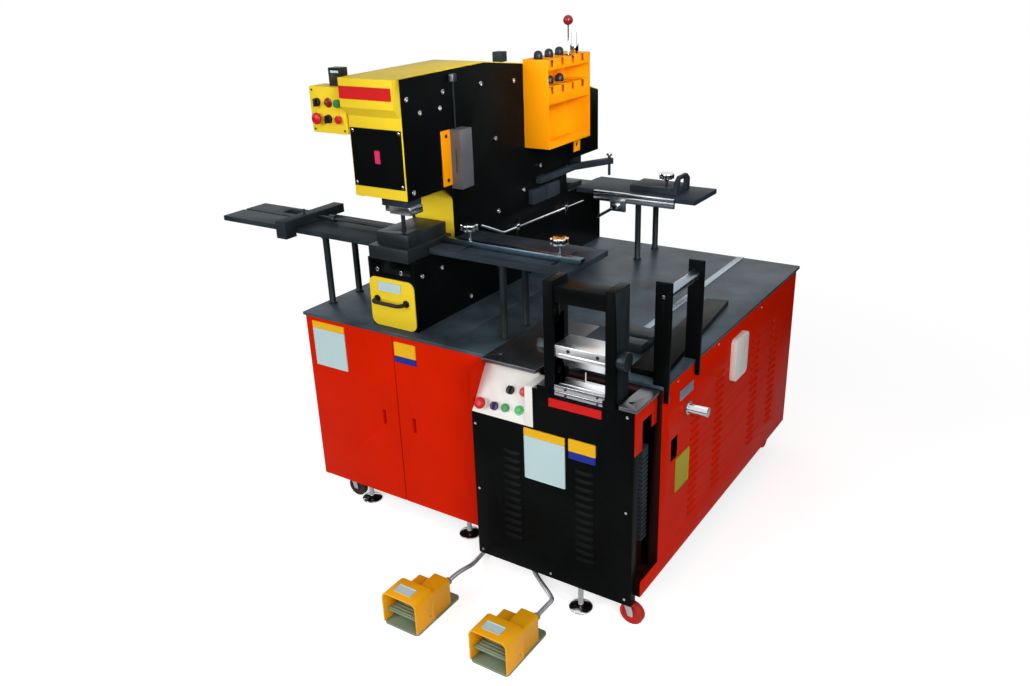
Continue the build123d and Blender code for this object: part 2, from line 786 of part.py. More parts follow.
REAR_FEED_BACK = REAR_FEED_FRONT + REAR_FEED_DEPTH
LEVER_X = BRACKET_LEFT + LEVER_LEFT
LEVER_Z = FEED_TOP - LEVER_DROP
FENCE_MIDDLE = FENCE_FRONT + FENCE_DEPTH / 2
FENCE_STEM_RIGHT = FENCE_STEM_LEFT + FENCE_STEM_PITCH
STOP_ROD_Z = FEED_TOP + STOP_ROD_RISE
REAR_KNOB_X = REAR_STOP_LEFT + REAR_STOP_LENGTH - REAR_KNOB_INSET
REAR_STOP_Y = REAR_FEED_FRONT + REAR_STOP_FRONT
REAR_KNOB_Y = REAR_STOP_Y + REAR_KNOB_FRONT
BOX_LEFT = COVER_LEFT - BOX_OUT - BOX_WIDTH
BOX_TOP = HEAD_TOP - BOX_TOP_DROP
BOX_BOTTOM = BOX_TOP - BOX_HEIGHT
BOX_FRONT = PRESS_FRONT - PANEL
BOX_BACK = BOX_FRONT + BOX_DEPTH
RACK_FRONT = PRESS_FRONT + RACK_START
RACK_BACK = RACK_FRONT + RACK_WIDTH
RACK_TOP = HEAD_TOP - RACK_TOP_DROP
RACK_MIDDLE = RACK_TOP - RACK_SHELF_DROP
RACK_BOTTOM = RACK_TOP - RACK_HEIGHT
SWITCH_MOUTH = SWITCH_FRONT + SWITCH_HOOD
SWITCH_BACK = SWITCH_MOUTH + SWITCH_BODY
PEDAL_Y = SWITCH_MOUTH - PEDAL_PIN_INSET
WHEEL_LEVEL = WHEEL_RADIUS + WHEEL_CLEAR
FORK_TOP = CABINET_LIFT - CASTOR_PLATE - SEAT
REAR_LINE = CABINET_DEPTH - REAR_LINE_INSET
LEFT_SWIVEL = (LEFT_SWIVEL_X, FRAME_FRONT + LEFT_SWIVEL_BACK)
RIGHT_SWIVEL = (CABINET_WIDTH - RIGHT_SWIVEL_INSET, BUMP_FRONT + RIGHT_SWIVEL_BACK)
LEFT_CASTOR = (LEFT_CASTOR_X, REAR_LINE)
RIGHT_CASTOR = (CABINET_WIDTH - RIGHT_CASTOR_INSET, REAR_LINE)
LOW = (Align.MIN, Align.MIN, Align.MIN)
UP = (Align.CENTER, Align.CENTER, Align.MIN)


def slab(x, y, z):
    """A box between a low and a high face on each axis."""
    return Pos(x[0], y[0], z[0]) * Box(x[1] - x[0], y[1] - y[0], z[1] - z[0], align=LOW)


def along_x(outline, x):
    """An outline of (y, z) points run along X."""
    return extrude(Plane.YZ.offset(x[0]) * make_face(Polyline(outline, close=True)), amount=x[1] - x[0])


def along_y(outline, y):
    """An outline of (x, z) points run along Y."""
    return extrude(Plane.XZ.offset(-y[1]) * make_face(Polyline(outline, close=True)), amount=y[1] - y[0])


def along_z(outline, z):
    """An outline of (x, y) points run up Z."""
    return extrude(Pos(0, 0, z[0]) * make_face(Polyline(outline, close=True)), amount=z[1] - z[0])


def rod(start, end, radius):
    """A round bar between two points."""
    run = Vector(*end) - Vector(*start)
    return Plane(origin=start, z_dir=run) * Cylinder(radius, run.length, align=UP)


def turned(profile):
    """A body turned about its own Z axis from (radius, height) points."""
    return revolve(Plane.XZ * make_face(Polyline(profile, close=True)), Axis.Z)


def hexagon(radius, height):
    """A hexagon bar that stands on its own XY plane."""
    return extrude(RegularPolygon(radius, 6), amount=height)


def group(*pieces):
    """Separate solids that share one node."""
    solids = []
    for piece in pieces:
        solids.extend(piece.solids())
    return Compound(children=solids)


# Cabinet

def hinge_ear(x, y, z):
    """The plate with a hole that holds a door's pivot pin."""
    ear = slab((x - HINGE_INSET + PANEL, x + HINGE_INSET + PANEL), y, z)
    return ear - Pos(x, DOOR_THICK / 2, z[0]) * Cylinder(HINGE_PIN + RUNNING, EAR_THICK, align=UP)


def base_sheets():
    """The base sheet of the cabinet and the one under the bending station, which ends at the recess."""
    level = (CABINET_LIFT, FRAME_LOW)
    cover_end = COVER_RIGHT - PANEL
    station = along_z([(BUMP_LEFT, FRAME_FRONT), (BUMP_LEFT, BUMP_FRONT), (cover_end, BUMP_FRONT),
                       (cover_end, -RECESS_DEPTH), (FRAME_RIGHT, -RECESS_DEPTH),
                       (FRAME_RIGHT, FRAME_FRONT)],
                      level)
    return [slab((FRAME_LEFT, FRAME_RIGHT), (FRAME_FRONT, FRAME_BACK), level), station]


def frame_tubes():
    """Square tubes butt-welded to six posts; at the top right they go round the recess."""
    columns = (FRAME_LEFT, BUMP_LEFT, FRAME_RIGHT - TUBE)
    recess = RECESS_BACK + PANEL
    step = RECESS_LEFT - PANEL - RECESS_GAP
    back = FRAME_BACK - TUBE
    floor = (FRAME_LOW, FRAME_LOW + TUBE)
    roof = (CABINET_TOP - TUBE, CABINET_TOP)
    front = (FRAME_FRONT, FRAME_FRONT + TUBE)
    tubes = []
    for x in columns:
        start = recess if x == columns[-1] else FRAME_FRONT
        for y in (start, back):
            tubes.append(slab((x, x + TUBE), (y, y + TUBE), (FRAME_LOW, CABINET_TOP)))
        for level in (floor, roof):
            tubes.append(slab((x, x + TUBE), (start + TUBE, back), level))
    for left, right in ((columns[0] + TUBE, columns[1]), (columns[1] + TUBE, columns[2])):
        for level in (floor, roof):
            tubes.append(slab((left, right), (back, FRAME_BACK), level))
    for level in (floor, roof):
        tubes.append(slab((columns[0] + TUBE, columns[1]), front, level))
    tubes.append(slab((columns[1] + TUBE, FRAME_RIGHT), front, floor))
    tubes.append(slab((columns[2], FRAME_RIGHT), (FRAME_FRONT + TUBE, recess), floor))
    tubes.append(slab((columns[1] + TUBE, step), front, roof))
    tubes.append(slab((step - TUBE, step), (FRAME_FRONT + TUBE, recess + TUBE), roof))
    tubes.append(slab((step, columns[2]), (recess, recess + TUBE), roof))
    for x in (BUMP_LEFT, COVER_RIGHT - PANEL - TUBE):
        tubes.append(slab((x, x + TUBE), (BUMP_FRONT, FRAME_FRONT), floor))
    return tubes


def cabinet_frame():
    """Base sheets with welded square tubes on them, and the ears of both doors."""
    pieces = base_sheets() + frame_tubes()
    for x in (HINGE_INSET, DOOR_RIGHT - HINGE_INSET):
        for low in (CABINET_LIFT, CABINET_TOP - EAR_THICK):
            pieces.append(hinge_ear(x, (PANEL, FRAME_FRONT), (low, low + EAR_THICK)))
    return group(*pieces)


def cabinet_panels():
    """The left side, both rear panels, the cheeks of the bending station and its inner partition."""
    height = (CABINET_LIFT, CABINET_TOP)
    middle = CABINET_WIDTH / 2
    cheek = slab((CHEEK_X, BUMP_LEFT), (BUMP_FRONT, FRAME_FRONT), (COVER_BOTTOM, CABINET_TOP))
    flange = slab((BUMP_LEFT, BUMP_LEFT + CHEEK_FLANGE), (BUMP_FRONT, BUMP_FRONT + PANEL),
                  (FRAME_LOW + TUBE, CONSOLE_FOOT - PANEL))
    high = CABINET_TOP - CHEEK_TOP_DROP
    low = CABINET_TOP - CHEEK_LOW_DROP
    shelf = CABINET_TOP - CHEEK_STEP_DROP
    notch = CABINET_TOP - CHEEK_NOTCH_DROP
    right_cheek = along_x([(BUMP_FRONT, high), (CHEEK_BACK, high), (CHEEK_BACK, shelf),
                           (CHEEK_STEP, shelf),
                           (CHEEK_STEP, notch), (CHEEK_NOTCH, notch), (CHEEK_NOTCH, low),
                           (BUMP_FRONT, low)],
                          (COVER_RIGHT, COVER_RIGHT + PANEL))
    partition = slab((RECESS_LEFT - PANEL, RECESS_LEFT), (-RECESS_DEPTH, RECESS_BACK),
                     (FRAME_LOW + TUBE, CABINET_TOP - TUBE))
    half_seam = REAR_SEAM / 2
    return group(slab((0, PANEL), (FRAME_FRONT, CABINET_DEPTH), height),
                 slab((PANEL, middle - half_seam), (FRAME_BACK, CABINET_DEPTH), height),
                 slab((middle + half_seam, FRAME_RIGHT), (FRAME_BACK, CABINET_DEPTH), height),
                 cheek + flange, right_cheek, partition)


def vent_profile(face, outward, z):
    """The bent hood of one louvre, as (across, z) points on a sheet whose outer face is given."""
    inside = face - outward * PANEL / 2
    outside = face + outward * VENT_OUT
    return [(inside, z + VENT_RISE), (outside, z), (outside - outward * PANEL, z), (inside, z + VENT_GAP)]


def right_side_panel():
    """The right side sheet with its low front strip, four rows of louvres and a cable window."""
    strip = CABINET_LIFT + STRIP_HEIGHT
    sheet = (FRAME_RIGHT, CABINET_WIDTH)
    panel = along_x([(-RECESS_DEPTH, CABINET_LIFT), (CABINET_DEPTH, CABINET_LIFT),
                     (CABINET_DEPTH, CABINET_TOP),
                     (RECESS_BACK, CABINET_TOP), (RECESS_BACK, strip), (-RECESS_DEPTH, strip)], sheet)
    window_top = CABINET_TOP - WINDOW_DROP
    panel -= slab(sheet, (WINDOW_Y, WINDOW_Y + WINDOW_WIDTH), (window_top - WINDOW_HEIGHT, window_top))
    cuts = []
    hoods = []
    pair = (SIDE_VENT_Y, SIDE_VENT_Y + SIDE_VENT_NEXT)
    for row, centre in enumerate((*pair, pair[1] + SIDE_VENT_GAP,
                                  pair[1] + SIDE_VENT_GAP + SIDE_VENT_NEXT)):
        across = (centre - VENT_HALF, centre + VENT_HALF)
        for step in range(SIDE_VENT_SHORT if row == 0 else SIDE_VENT_LONG):
            z = CABINET_LIFT + VENT_LEVEL + step * VENT_PITCH
            cuts.append(slab(sheet, across, (z, z + VENT_GAP)))
            hoods.append(along_y(vent_profile(CABINET_WIDTH, 1, z), across))
    return panel - cuts + hoods


def front_cover():
    """The stepped sheet in front of the bending station, with two rows of louvres and a side return."""
    front = (-BUMP, -BUMP + PANEL)
    shoulder = CABINET_TOP - COVER_SHOULDER
    gate = CABINET_TOP - COVER_GATE_DROP
    pillar = CABINET_TOP - COVER_PILLAR_DROP
    ear_left = GATE_RIGHT - COVER_EAR_LEFT
    ear_right = GATE_RIGHT + COVER_EAR_RIGHT
    gate_left = GATE_LEFT + COVER_GATE_LEFT
    beside = PILLAR_RIGHT + COVER_PILLAR_GAP
    cover = along_y([(CHEEK_X, COVER_BOTTOM), (COVER_RIGHT, COVER_BOTTOM), (COVER_RIGHT, shoulder),
                     (ear_right, shoulder), (ear_right, CABINET_TOP), (ear_left, CABINET_TOP),
                     (ear_left, gate),
                     (gate_left, gate), (gate_left, CABINET_TOP), (beside, CABINET_TOP), (beside, pillar),
                     (PILLAR_RIGHT + SEAT, pillar), (PILLAR_RIGHT + SEAT, CONSOLE_FOOT),
                     (CHEEK_X, CONSOLE_FOOT)],
                    front)
    cover += slab((COVER_RIGHT - PANEL, COVER_RIGHT), (-BUMP, -BUMP + COVER_RETURN),
                  (COVER_BOTTOM, shoulder))
    cuts = []
    hoods = []
    right = COVER_RIGHT - FRONT_VENT_RIGHT
    for left in (CHEEK_X + FRONT_VENT_LEFT, right - FRONT_VENT_WIDTH):
        across = (left, left + FRONT_VENT_WIDTH)
        for step in range(FRONT_VENTS):
            z = CABINET_LIFT + FRONT_VENT_LEVEL + step * VENT_PITCH
            cuts.append(slab(across, front, (z, z + VENT_GAP)))
            hoods.append(along_x(vent_profile(-BUMP, -1, z), across))
    sign_top = CABINET_TOP - SIGN_TOP_DROP
    sign = slab((GATE_LEFT - SIGN_LEFT, GATE_RIGHT - SIGN_RIGHT), (-BUMP - PANEL, -BUMP),
                (sign_top - SIGN_HEIGHT, sign_top))
    return cover - cuts + hoods + sign


def door(left, right, hinge_x, pull_x):
    """A folded pan with a sunk finger pull and a pivot pin at each end of its hinge edge."""
    pan = slab((left, right), (0, DOOR_THICK), (DOOR_LOW, DOOR_HIGH))
    pan -= slab((left + PANEL, right - PANEL), (PANEL, DOOR_THICK), (DOOR_LOW + PANEL, DOOR_HIGH - PANEL))
    across = PULL_WIDTH / 2
    half = PULL_HEIGHT / 2
    pan += slab((pull_x - across - PANEL, pull_x + across + PANEL), (PANEL, DOOR_THICK),
                (PULL_LEVEL - half - PANEL, PULL_LEVEL + half + PANEL))
    pan -= slab((pull_x - across, pull_x + across), (0, DOOR_THICK - PANEL),
                (PULL_LEVEL - half, PULL_LEVEL + half))
    side = HINGE_INSET - PANEL
    for low, high in ((CABINET_LIFT, DOOR_LOW + TUBE), (DOOR_HIGH - TUBE, CABINET_TOP)):
        pan += rod((hinge_x, DOOR_THICK / 2, low), (hinge_x, DOOR_THICK / 2, high), HINGE_PIN)
        hub = (max(low, DOOR_LOW), min(high, DOOR_HIGH))
        pan += slab((hinge_x - side, hinge_x + side), (PANEL, DOOR_THICK), hub)
    return pan


def table_plates():
    """Two thick plates: the right one is cut out for the bending station and grooved for the gauge rail."""
    level = (CABINET_TOP, TABLE_TOP)
    left = slab((-TABLE_SIDE_OVERHANG, TABLE_SEAM), (-TABLE_FRONT_OVERHANG, TABLE_BACK), level)
    start = TABLE_SEAM + SEAM_GAP
    deck_right = DECK_RIGHT + SEAM_GAP
    deck_back = DECK_BACK + SEAM_GAP
    bar_back = SIDE_BAR_BACK + SEAM_GAP
    right = along_z([(start, -TABLE_FRONT_OVERHANG), (BUMP_LEFT, -TABLE_FRONT_OVERHANG),
                     (BUMP_LEFT, deck_back),
                     (deck_right, deck_back), (deck_right, bar_back), (TABLE_RIGHT, bar_back),
                     (TABLE_RIGHT, TABLE_BACK), (start, TABLE_BACK)], level)
    groove = slab((GAUGE_RAIL_X - SEAT, GAUGE_RAIL_X + GAUGE_RAIL_WIDTH + SEAT),
                  (GAUGE_RAIL_FRONT, TABLE_BACK),
                  (CABINET_TOP + TABLE_THICK / 2, TABLE_TOP))
    return group(left, right - groove)


def steel_plates():
    """Bright plates: beside and under the gate, the gauge rail and the block that slides on it."""
    level = (CABINET_TOP, TABLE_TOP)
    deck = slab((BUMP_LEFT + SEAM_GAP, DECK_RIGHT), (DECK_FRONT, DECK_BACK), level)
    deck -= Pos(BUMP_LEFT + DECK_HOLE_INSET, DECK_HOLE_Y, CABINET_TOP) * Cylinder(DECK_HOLE_RADIUS,
                                                                                  TABLE_THICK,
                                                                                   align=UP)
    bar_left = COVER_RIGHT - SIDE_BAR_LEFT
    bar_front = -BUMP - SIDE_BAR_OUT
    bar_low = CABINET_TOP - TABLE_THICK
    bar = slab((bar_left, bar_left + SIDE_BAR_WIDTH), (bar_front, SIDE_BAR_BACK), (bar_low, CABINET_TOP))
    bar -= Pos(bar_left + SIDE_HOLE_INSET, bar_front + SIDE_HOLE_BACK, bar_low) * Cylinder(
        SIDE_HOLE_RADIUS, TABLE_THICK, align=UP)
    rail = slab((GAUGE_RAIL_X, GAUGE_RAIL_X + GAUGE_RAIL_WIDTH), (GAUGE_RAIL_FRONT + SEAT, TABLE_BACK),
                (CABINET_TOP + TABLE_THICK / 2, TABLE_TOP + PANEL))
    block_left = GAUGE_RAIL_X - GAUGE_BLOCK_LEFT
    across = (block_left, block_left + GAUGE_BLOCK_WIDTH)
    top = TABLE_TOP + GAUGE_BLOCK_HEIGHT
    slot = GAUGE_BLOCK_FRONT + GAUGE_SLOT_FRONT
    block = slab(across, (GAUGE_BLOCK_FRONT, GAUGE_BLOCK_FRONT + GAUGE_BLOCK_DEPTH), (TABLE_TOP, top))
    block -= slab(across, (slot, slot + GAUGE_SLOT_WIDTH), (top - GAUGE_SLOT_DEPTH, top))
    return group(deck, bar, rail, block)


# Feet and castors

def levelling_feet():
    """Six domed feet with a threaded stem and a lock nut against the base sheet."""
    profile = Polyline((0, 0), (FOOT_RADIUS, 0), (FOOT_RADIUS, FOOT_RIM))
    middle = ((FOOT_RADIUS + FOOT_STEM) / 2, (FOOT_RIM + FOOT_DOME) / 2 + FOOT_BULGE)
    dome = ThreePointArc((FOOT_RADIUS, FOOT_RIM), middle, (FOOT_STEM, FOOT_DOME))
    stem = Polyline((FOOT_STEM, FOOT_DOME), (FOOT_STEM, CABINET_LIFT), (0, CABINET_LIFT), (0, 0))
    foot = revolve(Plane.XZ * make_face([profile, dome, stem]), Axis.Z)
    foot += Pos(0, 0, CABINET_LIFT - LOCK_NUT_HEIGHT) * hexagon(LOCK_NUT_RADIUS, LOCK_NUT_HEIGHT)
    front = FRAME_FRONT + FOOT_BACK
    right = CABINET_WIDTH - FOOT_RIGHT_INSET
    places = [(x, REAR_LINE) for x in (FOOT_LEFT, FOOT_MIDDLE, right)]
    places += [(FOOT_LEFT, front), (FOOT_MIDDLE, front), (right, BUMP_FRONT + FOOT_BUMP_BACK)]
    return group(*(Pos(x, y, 0) * foot for x, y in places))


def fork():
    """A pressed fork about its swivel axis, with its wheel to the right of it."""
    low = FORK_TOP - FORK_HEAD
    body = Pos(0, 0, low) * Cylinder(FORK_HEAD_RADIUS, FORK_HEAD, align=UP)
    body -= Pos(0, 0, low) * Cylinder(FORK_PIN + RUNNING, FORK_HEAD, align=UP)
    leg = [(-LEG_TOP, FORK_TOP), (LEG_TOP, FORK_TOP), (CASTOR_TRAIL + LEG_LOW, WHEEL_LEVEL + LEG_LOW),
           (CASTOR_TRAIL + LEG_LOW, WHEEL_LEVEL - LEG_LOW),
           (CASTOR_TRAIL - LEG_LOW, WHEEL_LEVEL - LEG_LOW)]
    half = WHEEL_WIDTH / 2 + FORK_GAP
    for start, end in ((-half - FORK_LEG, -half), (half, half + FORK_LEG)):
        body += along_y(leg, (start, end))
    return body + rod((CASTOR_TRAIL, -half, WHEEL_LEVEL), (CASTOR_TRAIL, half, WHEEL_LEVEL), AXLE_RADIUS)


def top_plate(x, y):
    """The square plate that screws a castor to the base sheet."""
    half = CASTOR_PLATE_HALF
    return slab((x - half, x + half), (y - half, y + half), (CABINET_LIFT - CASTOR_PLATE, CABINET_LIFT))


def castor_plates():
    """Both swivel plates with their pins, and the rear forks that are fixed to theirs."""
    pieces = []
    for x, y in (LEFT_SWIVEL, RIGHT_SWIVEL):
        pin = rod((x, y, FORK_TOP - FORK_HEAD), (x, y, CABINET_LIFT), FORK_PIN)
        pieces.append(top_plate(x, y) + pin)
    half = WHEEL_WIDTH / 2 + FORK_GAP
    for x, y in (LEFT_CASTOR, RIGHT_CASTOR):
        high = CABINET_LIFT - CASTOR_PLATE
        leg = [(y - FIXED_LEG_TOP, high), (y + FIXED_LEG_TOP, high), (y + LEG_LOW, WHEEL_LEVEL - LEG_LOW),
               (y - LEG_LOW, WHEEL_LEVEL - LEG_LOW)]
        plate = top_plate(x, y)
        for start, end in ((x - half - FORK_LEG, x - half), (x + half, x + half + FORK_LEG)):
            plate += along_x(leg, (start, end))
        pieces.append(plate + rod((x - half, y, WHEEL_LEVEL), (x + half, y, WHEEL_LEVEL), AXLE_RADIUS))
    return group(*pieces)


def wheel():
    """A wheel about its own Z axis, with a waisted disc between tread and hub."""
    half = WHEEL_WIDTH / 2
    waist = half - WHEEL_WAIST
    rim = WHEEL_RADIUS - TREAD_INNER
    upper = [(AXLE_RADIUS + RUNNING, half), (WHEEL_HUB, half), (WHEEL_HUB, waist), (rim, waist),
             (rim, half),
             (WHEEL_RADIUS - TREAD_EDGE, half), (WHEEL_RADIUS, half - TREAD_EDGE)]
    lower = [(radius, -height) for radius, height in upper]
    return turned(lower + upper[::-1])


# Press

def press_sides():
    """Two thick side plates with a front and a rear throat, and the blocks between them."""
    outline = [(PRESS_FRONT, TABLE_TOP), (PRESS_FRONT, PRESS_BED), (THROAT_BACK, PRESS_BED),
               (THROAT_BACK, THROAT_TOP - THROAT_CHAMFER), (THROAT_BACK - THROAT_SLANT, THROAT_TOP),
               (PRESS_FRONT, THROAT_TOP), (PRESS_FRONT, HEAD_TOP), *HEAD_LINE,
               (REAR_HEAD_BACK, REAR_HEAD_BOTTOM), (REAR_THROAT, REAR_HEAD_BOTTOM),
               (REAR_THROAT, REAR_BED),
               (PRESS_BACK, REAR_BED), (PRESS_BACK, TABLE_TOP)]
    face = Plane.YZ * make_face(Polyline(outline, close=True))
    corners = (THROAT_BACK, REAR_THROAT)
    inner = [vertex for vertex in face.vertices() if min(abs(vertex.Y - y) for y in corners) < PANEL]
    plate = extrude(fillet(inner, THROAT_FILLET), amount=SIDE_PLATE)
    floor = PRESS_BED - BED_PLATE
    roof = HEAD_TOP - CORE_INSET
    drawer_back = PRESS_FRONT + DRAWER_DEPTH + CORE_FRONT
    rear = REAR_THROAT - CORE_INSET
    throat = THROAT_BACK + THROAT_PANEL
    core = along_x([(PRESS_FRONT + CORE_FRONT, THROAT_TOP + CORE_INSET), (PRESS_FRONT + CORE_FRONT, roof),
                    (RIDGE_Y, roof), (SLOPE_Y, roof - SLOPE_DROP),
                    (REAR_HEAD_BACK - CORE_REAR, REAR_HEAD_TOP - CORE_INSET),
                    (REAR_HEAD_BACK - CORE_REAR, REAR_HEAD_BOTTOM + CORE_INSET),
                    (rear, REAR_HEAD_BOTTOM + CORE_INSET), (rear, REAR_BED - CORE_INSET),
                    (PRESS_BACK - CORE_INSET, REAR_BED - CORE_INSET), (PRESS_BACK - CORE_INSET, TABLE_TOP),
                    (drawer_back, TABLE_TOP), (drawer_back, floor), (throat, floor),
                    (throat, THROAT_TOP - THROAT_PANEL_DROP),
                    (throat - THROAT_SLANT, THROAT_TOP + CORE_INSET)],
                   (CORE_LEFT, CORE_RIGHT))
    for y, low in ((PUNCH_Y, THROAT_TOP + CORE_INSET), (SHEAR_Y, REAR_HEAD_BOTTOM + CORE_INSET)):
        core -= Pos(PUNCH_X, y, low) * Cylinder(RAM_RADIUS + RUNNING, RAM_LENGTH, align=UP)
    plate_back = PRESS_FRONT + FRONT_PLATE
    front = slab((CORE_LEFT, CORE_RIGHT), (PRESS_FRONT, plate_back),
                 (DRAWER_LOW + DRAWER_HEIGHT + SEAT, PRESS_BED))
    bed = slab((CORE_LEFT, CORE_RIGHT), (plate_back, throat), (floor, PRESS_BED))
    bed -= Pos(PUNCH_X, PUNCH_Y, floor) * Cylinder(PUNCH_RADIUS + SLUG_HOLE_GAP, BED_PLATE, align=UP)
    return group(Pos(PRESS_LEFT, 0, 0) * plate, Pos(CORE_RIGHT, 0, 0) * plate, core, front + bed)


def head_covers():
    """Sheet covers of the head: visor and front, top, left cheek, throat back and a small flange."""
    brow = HEAD_TOP - VISOR_HEIGHT
    brow_front = PRESS_FRONT - VISOR_DEPTH
    low = THROAT_TOP + COVER_LIP
    front = along_x([(PRESS_FRONT - COVER_SHEET, low), (PRESS_FRONT - COVER_SHEET, brow - VISOR_SLOPE),
                     (brow_front, brow), (brow_front, HEAD_TOP + COVER_SHEET),
                     (PRESS_FRONT, HEAD_TOP + COVER_SHEET), (PRESS_FRONT, low)], (COVER_LEFT, PRESS_RIGHT))
    top_line = [(PRESS_FRONT, HEAD_TOP), *HEAD_LINE]
    top = along_x(top_line + [(y, z + COVER_SHEET) for y, z in reversed(top_line)],
                  (COVER_LEFT, PRESS_RIGHT))
    cheek = along_x(top_line + [(REAR_HEAD_BACK, THROAT_TOP), (PRESS_FRONT, THROAT_TOP)],
                    (COVER_LEFT, PRESS_LEFT))
    throat = slab((CORE_LEFT, CORE_RIGHT), (THROAT_BACK, THROAT_BACK + THROAT_PANEL),
                  (PRESS_BED, THROAT_TOP - THROAT_PANEL_DROP))
    flange_y = PRESS_FRONT + FLANGE_REACH
    flange_top = HEAD_TOP - FLANGE_TOP_DROP
    flange = slab((PRESS_RIGHT, PRESS_RIGHT + FLANGE_THICK), (flange_y, flange_y + FLANGE_WIDTH),
                  (flange_top - FLANGE_HEIGHT, flange_top))
    cap_x = PRESS_RIGHT - CAP_INSET
    cap_y = PRESS_FRONT + CAP_REACH
    cap = slab((cap_x, cap_x + CAP_WIDTH), (cap_y, cap_y + CAP_WIDTH),
               (HEAD_TOP - CAP_DROP, HEAD_TOP + CAP_RISE))
    return group(front, top, cheek, throat, flange, cap - top)


def press_bolts():
    """Socket bolts through both side plates, and the screws of the plaque and the front plate."""
    places = [(PRESS_FRONT + reach, HEAD_TOP - drop) for reach, drop in HEAD_BOLTS]
    places += [(PRESS_FRONT + reach, PRESS_BED + rise) for reach, rise in BODY_BOLTS]
    places.append((PRESS_FRONT + THROAT_BOLT_REACH, THROAT_TOP + THROAT_BOLT_RISE))
    end = PRESS_RIGHT + BOLT_HEAD
    pieces = []
    for y, z in places:
        head = rod((PRESS_RIGHT, y, z), (end, y, z), BOLT_RADIUS)
        pieces.append(head - rod((end - BOLT_SOCKET_DEPTH, y, z), (end, y, z), BOLT_SOCKET))
        if z < PRESS_BED:
            pieces.append(rod((PRESS_LEFT - BOLT_HEAD, y, z), (PRESS_LEFT, y, z), BOLT_RADIUS))
    face = PRESS_FRONT - COVER_SHEET
    high = HEAD_TOP - PLAQUE_TOP_DROP
    for x in (COVER_LEFT + PLAQUE_INSET, PRESS_RIGHT - PLAQUE_INSET):
        for z in (high - PLAQUE_SCREW_PITCH, high):
            pieces.append(rod((x, face - SCREW_HEAD, z), (x, face, z), SCREW_RADIUS))
    z = PRESS_BED - PLATE_SCREW_DROP
    for x in (PRESS_LEFT + PLATE_SCREW_LEFT, PRESS_RIGHT - PLATE_SCREW_RIGHT):
        pieces.append(rod((x, PRESS_FRONT - PLATE_SCREW_HEAD, z), (x, PRESS_FRONT, z), PLATE_SCREW_RADIUS))
    return group(*pieces)


def die_blocks():
    """The press bed block, the punch guide on it, and the lower shear block at the rear."""
    bed_top = PRESS_BED + BED_HEIGHT
    bed = slab((CORE_LEFT, CORE_RIGHT), (PRESS_FRONT - BED_OUT, THROAT_BACK - BED_BACK_GAP),
               (PRESS_BED, bed_top))
    guide_left = PRESS_LEFT + GUIDE_LEFT
    guide_front = PRESS_FRONT + GUIDE_FRONT
    guide = slab((guide_left, guide_left + GUIDE_WIDTH), (guide_front, guide_front + GUIDE_DEPTH),
                 (bed_top, GUIDE_TOP))
    guide = chamfer(guide.edges().group_by(Axis.Z)[-1], GUIDE_CHAMFER)
    hole = rod((PUNCH_X, PUNCH_Y, PRESS_BED), (PUNCH_X, PUNCH_Y, GUIDE_TOP), PUNCH_RADIUS + PUNCH_HOLE_GAP)
    rear_left = PRESS_LEFT + REAR_BLOCK_LEFT
    rear_low = REAR_BED - CORE_INSET
    rear = slab((rear_left, rear_left + REAR_BLOCK_WIDTH),
                (SHEAR_Y - REAR_BLOCK_HALF, SHEAR_Y + REAR_BLOCK_HALF),
                (rear_low, rear_low + REAR_BLOCK_HEIGHT))
    return group(bed - hole, guide - hole, rear)


def punch_ram():
    """The punch with its stripper bar, clamp plate and the ram that slides in the head."""
    left = PUNCH_X - STRIPPER_LEFT
    level = (STRIPPER_LOW, STRIPPER_TOP)
    front = PUNCH_Y - STRIPPER_HALF
    ram_low = THROAT_TOP - HEAD_GAP
    stripper = slab((left, PUNCH_X + STRIPPER_RIGHT), (front, PUNCH_Y + STRIPPER_HALF), level)
    stripper -= slab((left, left + STRIPPER_NOTCH), (front, front + STRIPPER_NOTCH_DEPTH), level)
    plate = slab((PUNCH_X - CLAMP_LEFT, PUNCH_X + CLAMP_RIGHT),
                 (PUNCH_Y - CLAMP_HALF, PUNCH_Y + CLAMP_HALF),
                 (STRIPPER_TOP, ram_low))
    punch = rod((PUNCH_X, PUNCH_Y, STRIPPER_LOW - PUNCH_LENGTH), (PUNCH_X, PUNCH_Y, STRIPPER_LOW),
                PUNCH_RADIUS)
    ram = rod((PUNCH_X, PUNCH_Y, ram_low), (PUNCH_X, PUNCH_Y, THROAT_TOP + RAM_LENGTH), RAM_RADIUS)
    return punch + stripper + plate + ram


def shear_ram():
    """The upper shear block and its ram at the rear throat."""
    low = REAR_HEAD_BOTTOM - SHEAR_BLOCK_HEIGHT
    left = PRESS_LEFT + REAR_BLOCK_LEFT
    across = (left, left + REAR_BLOCK_WIDTH)
    front = SHEAR_Y - SHEAR_BLOCK_HALF
    block = slab(across, (front, SHEAR_Y + SHEAR_BLOCK_HALF), (low, REAR_HEAD_BOTTOM))
    block -= along_x([(front, low), (front + SHEAR_EDGE, low), (front, low + SHEAR_EDGE)], across)
    return block + rod((PUNCH_X, SHEAR_Y, REAR_HEAD_BOTTOM),
                       (PUNCH_X, SHEAR_Y, REAR_HEAD_BOTTOM + RAM_LENGTH),
                       RAM_RADIUS)


